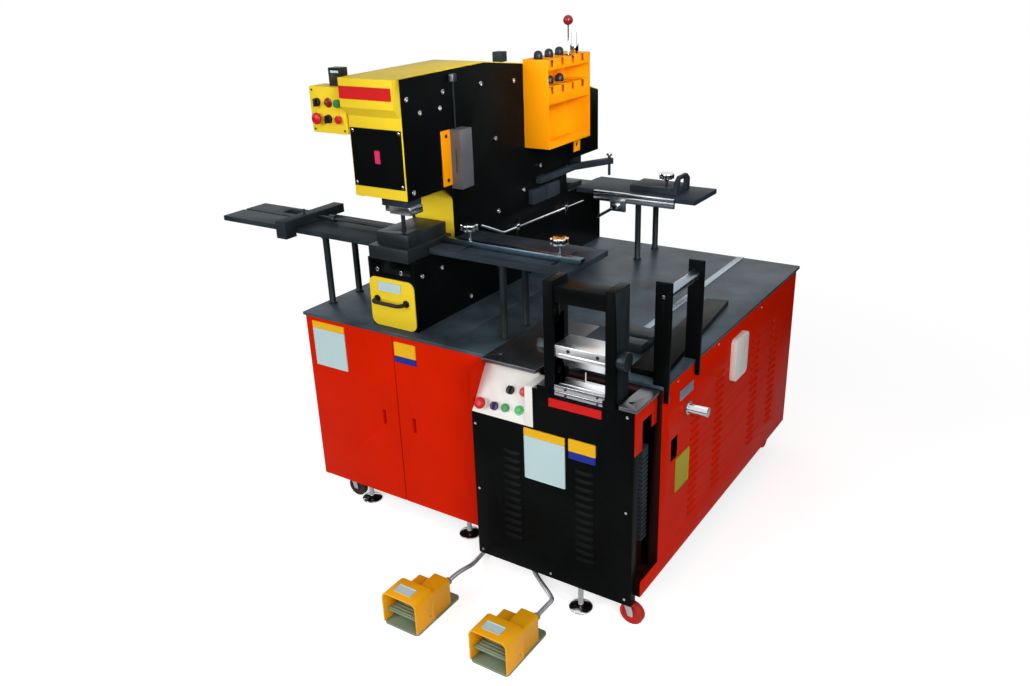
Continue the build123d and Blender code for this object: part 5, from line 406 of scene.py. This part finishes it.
# %% Controls and their boxes
HIGH_LAMP = ((1000, -60, 723), (1038, -20, 765))
LOW_LAMP = ((1000, -110, 660), (1050, -50, 725))
COUNTER = ((200, 20, 1668), (256, 110, 1735))
HEAD_LAMP = ((190, 10, 1598), (226, 36, 1632))
BOX_BRACKET = ((100, 106, 1500), (300, 120, 1700))
dress("white", 0.6, "console_box", parts=(("rose_lens", HIGH_LAMP), ("pale_green", LOW_LAMP)), whole=True)
dress("yellow", 0.8, "control_boxes",
      parts=(("black_plastic", COUNTER), ("dark_lens", HEAD_LAMP), ("black_plate", BOX_BRACKET)))
dress("black_plastic", 0.5, "console_selector", "head_selector", "head_key_switch")
dress("violet", 0.5, "console_key_switch")
dress("red_plastic", 0.5, "console_mushroom", "head_mushroom", "head_red_button")
dress("green_plastic", 0.5, "console_green_button", "head_green_button")

# %% Rack, tools and side fittings
ROD_BALL = ((590, 930, 1799), (660, 1000, 1850))
STEPPED_PUNCH = ((575, 1010, 1690), (625, 1060, 1770))
BALL_ROD = ((610, 930, 1694), (626, 1000, 1799))
WALL_BOX = ((1461, 640, 590), (1490, 780, 770))
NAME_PLATE = ((1461, 190, 705), (1470, 310, 760))
OIL_FILLER = ((1467, 240, 630), (1540, 300, 700))
WIRING_DUCT = ((1399, -30, 290), (1445, 30, 650))
SENSOR_MAST = ((530, 290, 1506), (570, 320, 1700))
# The tool rack takes the darkened yellow of painted shade.
dress("orange", 0.6, "tool_rack")
dress("steel_dark", 0.5, "rack_tools",
      parts=(("dark_lens", ROD_BALL), ("chrome", STEPPED_PUNCH), ("chrome", BALL_ROD)))
dress("grey", 1.0, "power_unit")
dress("box_grey", 0.8, "side_fittings",
      parts=(("white", WALL_BOX), ("label_steel", NAME_PLATE), ("chrome", OIL_FILLER),
             ("black_plate", WIRING_DUCT), ("black_plate", SENSOR_MAST)))

# %% Foot switches
dress("green", 0.8, "foot_switch_bases")
dress("hood", 1.0, "foot_switch_hoods")
dress("green", 0.6, "pedal_left", "pedal_right")

# %% [markdown]
# ## The conduits of the foot switches
# A corrugated conduit is a ribbed sleeve. Its route is one smooth line through given points, and the ribs
# are made from that line's own rings: the curve is turned into a mesh, and every second pair of rings is
# drawn in. That keeps real ribs in the mesh, where a bump would vanish at the edge.

# %% Two ribbed conduits
CONDUIT_RADIUS = 8
GROOVE_SHARE = 0.87
RINGS_PER_RIB = 4
STEPS_PER_POINT = 56
ROUTES = {
    "left": [(849, -285, 90), (849, -236, 90), (838, -174, 66), (818, -108, 32), (799, -38, 15),
             (790, 34, 13), (792, 104, 14.5), (796, 166, 38), (798, 204, 76)],
    "right": [(1205, -285, 90), (1205, -232, 90), (1196, -178, 74), (1171, -137, 45), (1126, -90, 24),
              (1066, -44, 14), (1012, -2, 13), (962, 44, 15), (926, 94, 36), (904, 126, 75)],
}


def route_curve(name, route):
    """A smooth line with the route's points as its control points."""
    data = bpy.data.curves.new(name, "CURVE")
    data.dimensions = "3D"
    spline = data.splines.new("NURBS")
    spline.points.add(len(route) - 1)
    for point, spot in zip(spline.points, route):
        point.co = (*at(*spot), 1)
    spline.order_u = 3
    spline.use_endpoint_u = True
    data.resolution_u = STEPS_PER_POINT
    curve = bpy.data.objects.new(name, data)
    bpy.context.scene.collection.objects.link(curve)
    bpy.context.view_layer.update()
    return curve


def ribbed_conduit(side):
    """The conduit as a mesh whose rings alternate between rib and groove."""
    curve = route_curve("conduit_line_" + side, ROUTES[side])
    depsgraph = bpy.context.evaluated_depsgraph_get()
    line = bpy.data.meshes.new_from_object(curve.evaluated_get(depsgraph))
    path = [vertex.co.copy() for vertex in line.vertices]
    curve.data.bevel_depth = CONDUIT_RADIUS / 1000
    curve.data.bevel_resolution = 5
    only(curve)
    bpy.ops.object.convert(target="MESH")
    piece = bpy.context.object
    piece.name = "conduit_sleeve_" + side
    sides = len(piece.data.vertices) // len(path)
    for index, vertex in enumerate(piece.data.vertices):
        ring = index // sides
        if ring % RINGS_PER_RIB > 1:
            centre = path[ring]
            vertex.co = centre + (vertex.co - centre) * GROOVE_SHARE
    bpy.ops.object.shade_flat()
    finish_piece(piece, FINISHES["conduit"])
    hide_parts("conduit_" + side)


for conduit_side in ROUTES:
    ribbed_conduit(conduit_side)

# %% [markdown]
# ## Printed fields
# The doors, the cover and the head carry stickers. Their wording is left out, and each stays as a plain
# field of its own colour: a thin sheet with rounded corners, laid on the panel.

# %% Thin fields on the faces
FIELD_THICK = 0.6
FIELD_CORNER = 3
LEAST_STEP = 0.0001


def sheet(name, finish_name, low, high, thin, body="machine", corner=FIELD_CORNER):
    """A thin sheet between two drawing corners, with its four corners rounded about the thin axis."""
    piece = block(name, low, high)
    only(piece)
    if corner:
        bpy.ops.object.mode_set(mode="EDIT")
        bpy.ops.mesh.select_all(action="DESELECT")
        bpy.ops.object.mode_set(mode="OBJECT")
        for edge in piece.data.edges:
            a, b = (piece.data.vertices[index].co for index in edge.vertices)
            edge.select = abs(a[thin] - b[thin]) > LEAST_STEP
        bpy.ops.object.mode_set(mode="EDIT")
        bpy.ops.mesh.bevel(offset=corner / 1000, segments=4, affect="EDGES")
        bpy.ops.object.mode_set(mode="OBJECT")
    return finish_piece(piece, FINISHES[finish_name], body)


def front_field(name, finish_name, x, z, y, body="machine", thick=FIELD_THICK, corner=FIELD_CORNER):
    """A field on a face that looks to the front."""
    return sheet(name, finish_name, (x[0], y - thick, z[0]), (x[1], y, z[1]), 1, body, corner)


DOOR_FACE = 0
COVER_FACE = -95
COVER_PLATE_FACE = -97
DRAWER_FACE = 31
HEAD_PLATE_FACE = 34
PLAQUE_THICK = 2
COUNTER_FACE = 58
SIDE_FACE = 1462
front_field("door_left_field", "label_pale", (34, 195), (616, 770), DOOR_FACE, "door_left")
front_field("door_left_header", "label_yellow", (34, 195), (770.5, 798), DOOR_FACE, "door_left")
front_field("door_right_field", "label_yellow", (438, 536), (738, 792), DOOR_FACE, "door_right")
front_field("door_right_footer", "label_blue", (438, 536), (712, 737.5), DOOR_FACE, "door_right")
front_field("cover_field", "label_pale", (1051, 1205), (464, 622), COVER_FACE)
front_field("cover_header", "label_yellow", (1051, 1205), (622.5, 651), COVER_FACE)
front_field("cover_side_field", "label_yellow", (1218, 1316), (611, 655), COVER_FACE)
front_field("cover_side_footer", "label_blue", (1218, 1316), (584, 610.5), COVER_FACE)
front_field("station_sign", "label_red", (1149, 1337), (753, 782), COVER_PLATE_FACE)
front_field("head_sign", "label_red", (296, 519), (1639, 1680), 0, corner=2)
front_field("drawer_field", "label_pale", (362, 465), (965, 1000), DRAWER_FACE, "drawer")
front_field("plaque", "black", (299, 520), (1342, 1540), HEAD_PLATE_FACE, thick=PLAQUE_THICK)
front_field("plaque_mark", "label_pink", (400, 422), (1424, 1468), HEAD_PLATE_FACE - PLAQUE_THICK, corner=2)
front_field("counter_field", "label_pale", (209, 246), (1711, 1719), COUNTER_FACE, corner=1)
sheet("side_field", "label_olive", (SIDE_FACE, 185, 380), (SIDE_FACE + FIELD_THICK, 292, 508), 0)
for side, middle in (("left", 794), ("right", 1150)):
    sheet("guard_field_" + side, "label_pale", (middle - 40, -462, 128), (middle + 30, -425, 128.5), 2)

# %% [markdown]
# ## Small screws
# The covers are held by small domed screws. One screw is turned from a cylinder with a broken top edge, and
# the others are copies of its mesh. Each row of screws is joined, because it stays on one panel.

# %% Rows of screws


def screws(name, finish_name, spots, direction, radius=5, height=2.5, body="machine"):
    """Domed screw heads that stand on drawing points and look along a direction."""
    outward = Vector(direction)
    first = disc(name, Vector(spots[0]) + outward * height / 2, radius, height, direction, 20)
    round_edges(first, 1.0, 2)
    row = [first]
    for spot in spots[1:]:
        only(first)
        bpy.ops.object.duplicate(linked=False)
        bpy.ops.transform.translate(value=(Vector(spot) - Vector(spots[0])) / 1000)
        settle(bpy.context.object)
        row.append(bpy.context.object)
    piece = join(name, row)
    return finish_piece(piece, FINISHES[finish_name], body)


cover_spots = ((857, 614), (860, 361), (862, 109), (1143, 110), (1422, 114), (1423, 445), (1423, 780))
screws("cover_screws", "ground", [(x, COVER_FACE, z) for x, z in cover_spots], (0, -1, 0))
side_spots = ((178, 798), (518, 797), (952, 788))
screws("side_screws", "ground", [(SIDE_FACE, y, z) for y, z in side_spots], (1, 0, 0))
screws("flange_screws", "black_plastic", [(530, 259, z) for z in (1332, 1486)], (1, 0, 0), radius=7)
screws("block_screws", "steel_dark", [(x, -85, 947) for x in (1214, 1316)], (0, -1, 0), radius=6)
screws("keeper_screws", "steel_dark", [(x, -90, z) for x in (1205, 1318) for z in (796, 817)], (0, -1, 0),
       radius=4)
box_spots = [(x, 35, z) for x in (134, 272) for z in (1523, 1655)]
screws("box_screws", "steel_dark", box_spots, (0, -1, 0), radius=4, height=2)

# %% [markdown]
# ## Floor, light and camera
# The photograph is a studio picture on white. The floor is a pale sheet that keeps the shadow near the
# machine and turns into plain white further out. The white behind it is the world's, which only the camera
# and reflections see. Four soft lamps and the world's low fill light the machine: the key lamp from the
# front left, one from the front right, one for the rack and a weak one overhead. The camera stands where
# the photograph was taken from.

# %% Floor
FLOOR_SIZE = 200
NEAR_REACH, FAR_REACH = 1.5, 3.4
NEAR_GLOW = 0.62
PALE = (0.88, 0.88, 0.88)
WHITE = (1, 1, 1, 1)


def math_node(tree, operation, *values):
    """A maths node whose inputs are linked to the values."""
    node = tree.nodes.new("ShaderNodeMath")
    node.operation = operation
    for socket, value in zip(node.inputs, values):
        tree.links.new(value, socket)
    return node.outputs[0]


def floor_finish():
    """A pale sheet that fades, with the distance from the middle, to a white glow for the camera alone."""
    material = bpy.data.materials.new("floor")
    material.use_nodes = True
    tree = material.node_tree
    shader = tree.nodes["Principled BSDF"]
    shader.inputs["Roughness"].default_value = 0.9
    shader.inputs["Specular IOR Level"].default_value = 0.0
    shader.inputs["Emission Color"].default_value = WHITE
    place = tree.nodes.new("ShaderNodeTexCoord")
    reach = tree.nodes.new("ShaderNodeVectorMath")
    reach.operation = "LENGTH"
    tree.links.new(place.outputs["Object"], reach.inputs[0])
    fade = tree.nodes.new("ShaderNodeMapRange")
    fade.inputs["From Min"].default_value = NEAR_REACH
    fade.inputs["From Max"].default_value = FAR_REACH
    fade.interpolation_type = "SMOOTHSTEP"
    tree.links.new(reach.outputs["Value"], fade.inputs["Value"])
    pale = ramp(tree, fade.outputs["Result"], PALE, (0, 0, 0), 0.0, 1.0)
    tree.links.new(pale, shader.inputs["Base Color"])
    near_glow = spread(tree, fade.outputs["Result"], NEAR_GLOW, 1.0)
    light_path = tree.nodes.new("ShaderNodeLightPath")
    glow = math_node(tree, "MULTIPLY", near_glow, light_path.outputs["Is Camera Ray"])
    tree.links.new(glow, shader.inputs["Emission Strength"])
    return material


bpy.ops.object.select_all(action="DESELECT")
bpy.ops.mesh.primitive_plane_add(size=FLOOR_SIZE, location=(0, 0, 0))
floor = bpy.context.object
floor.name = "floor"
floor.data.materials.append(floor_finish())
print("floor", FLOOR_SIZE, "m wide")

# %% World
FILL_LIGHT = 0.3


def background(node, strength):
    """Sets a background node to white of some strength."""
    node.inputs["Color"].default_value = WHITE
    node.inputs["Strength"].default_value = strength
    return node.outputs[0]


world = bpy.data.worlds.new("studio")
bpy.context.scene.world = world
world.use_nodes = True
world_tree = world.node_tree
fill = background(world_tree.nodes["Background"], FILL_LIGHT)
seen = background(world_tree.nodes.new("ShaderNodeBackground"), 1.0)
rays = world_tree.nodes.new("ShaderNodeLightPath").outputs
camera_or_glossy = math_node(world_tree, "MAXIMUM", rays["Is Camera Ray"], rays["Is Glossy Ray"])
with_glass = math_node(world_tree, "MAXIMUM", camera_or_glossy, rays["Is Transmission Ray"])
mix = world_tree.nodes.new("ShaderNodeMixShader")
world_tree.links.new(with_glass, mix.inputs["Fac"])
world_tree.links.new(fill, mix.inputs[1])
world_tree.links.new(seen, mix.inputs[2])
world_tree.links.new(mix.outputs[0], world_tree.nodes["World Output"].inputs["Surface"])
print("fill light", FILL_LIGHT)

# %% Lamps


def soft_lamp(name, place, target, size, power, cone=180):
    """A square lamp at a place, aimed at a target, both in metres, with light in a cone of some degrees."""
    data = bpy.data.lights.new(name, "AREA")
    data.size = size
    data.energy = power
    data.spread = math.radians(cone)
    lamp = bpy.data.objects.new(name, data)
    lamp.location = place
    lamp.rotation_euler = (Vector(target) - Vector(place)).to_track_quat("-Z", "Y").to_euler()
    bpy.context.scene.collection.objects.link(lamp)
    print(name, power, "W")


soft_lamp("key_lamp", (-1.6, -4.6, 2.5), (0, 0, 0.9), 2.4, 115)
soft_lamp("side_lamp", (2.8, -2.4, 2.0), (0.6, -0.2, 0.8), 1.6, 52)
soft_lamp("rack_lamp", (2.2, -1.4, 2.5), (0.05, 0.45, 1.6), 0.8, 5, cone=40)
soft_lamp("top_lamp", (0.2, 0.6, 4.6), (0, 0, 0.8), 2.6, 8)

# %% Camera
CAMERA_PLACE = (2518.245, -2302.030, 2067.497)
YAW, PITCH, ROLL = 0.5939, 0.4002, -0.0351
SENSOR_WIDTH = 36
LENS = 32.29
forward = Vector((-math.sin(YAW) * math.cos(PITCH), math.cos(YAW) * math.cos(PITCH), -math.sin(PITCH)))
level_right = Vector((math.cos(YAW), math.sin(YAW), 0))
level_up = level_right.cross(forward)
right = math.cos(ROLL) * level_right + math.sin(ROLL) * level_up
up = -math.sin(ROLL) * level_right + math.cos(ROLL) * level_up
camera_data = bpy.data.cameras.new("camera")
camera_data.sensor_width = SENSOR_WIDTH
camera_data.lens = LENS
camera = bpy.data.objects.new("camera", camera_data)
turn = Matrix((right, up, -forward)).transposed().to_4x4()
camera.matrix_world = Matrix.Translation(at(*CAMERA_PLACE)) @ turn
bpy.context.scene.collection.objects.link(camera)
bpy.context.scene.camera = camera
bpy.context.scene.view_settings.view_transform = "Standard"
print("camera", [round(value, 3) for value in camera.location])

# %% End of the scene
print("scene built")
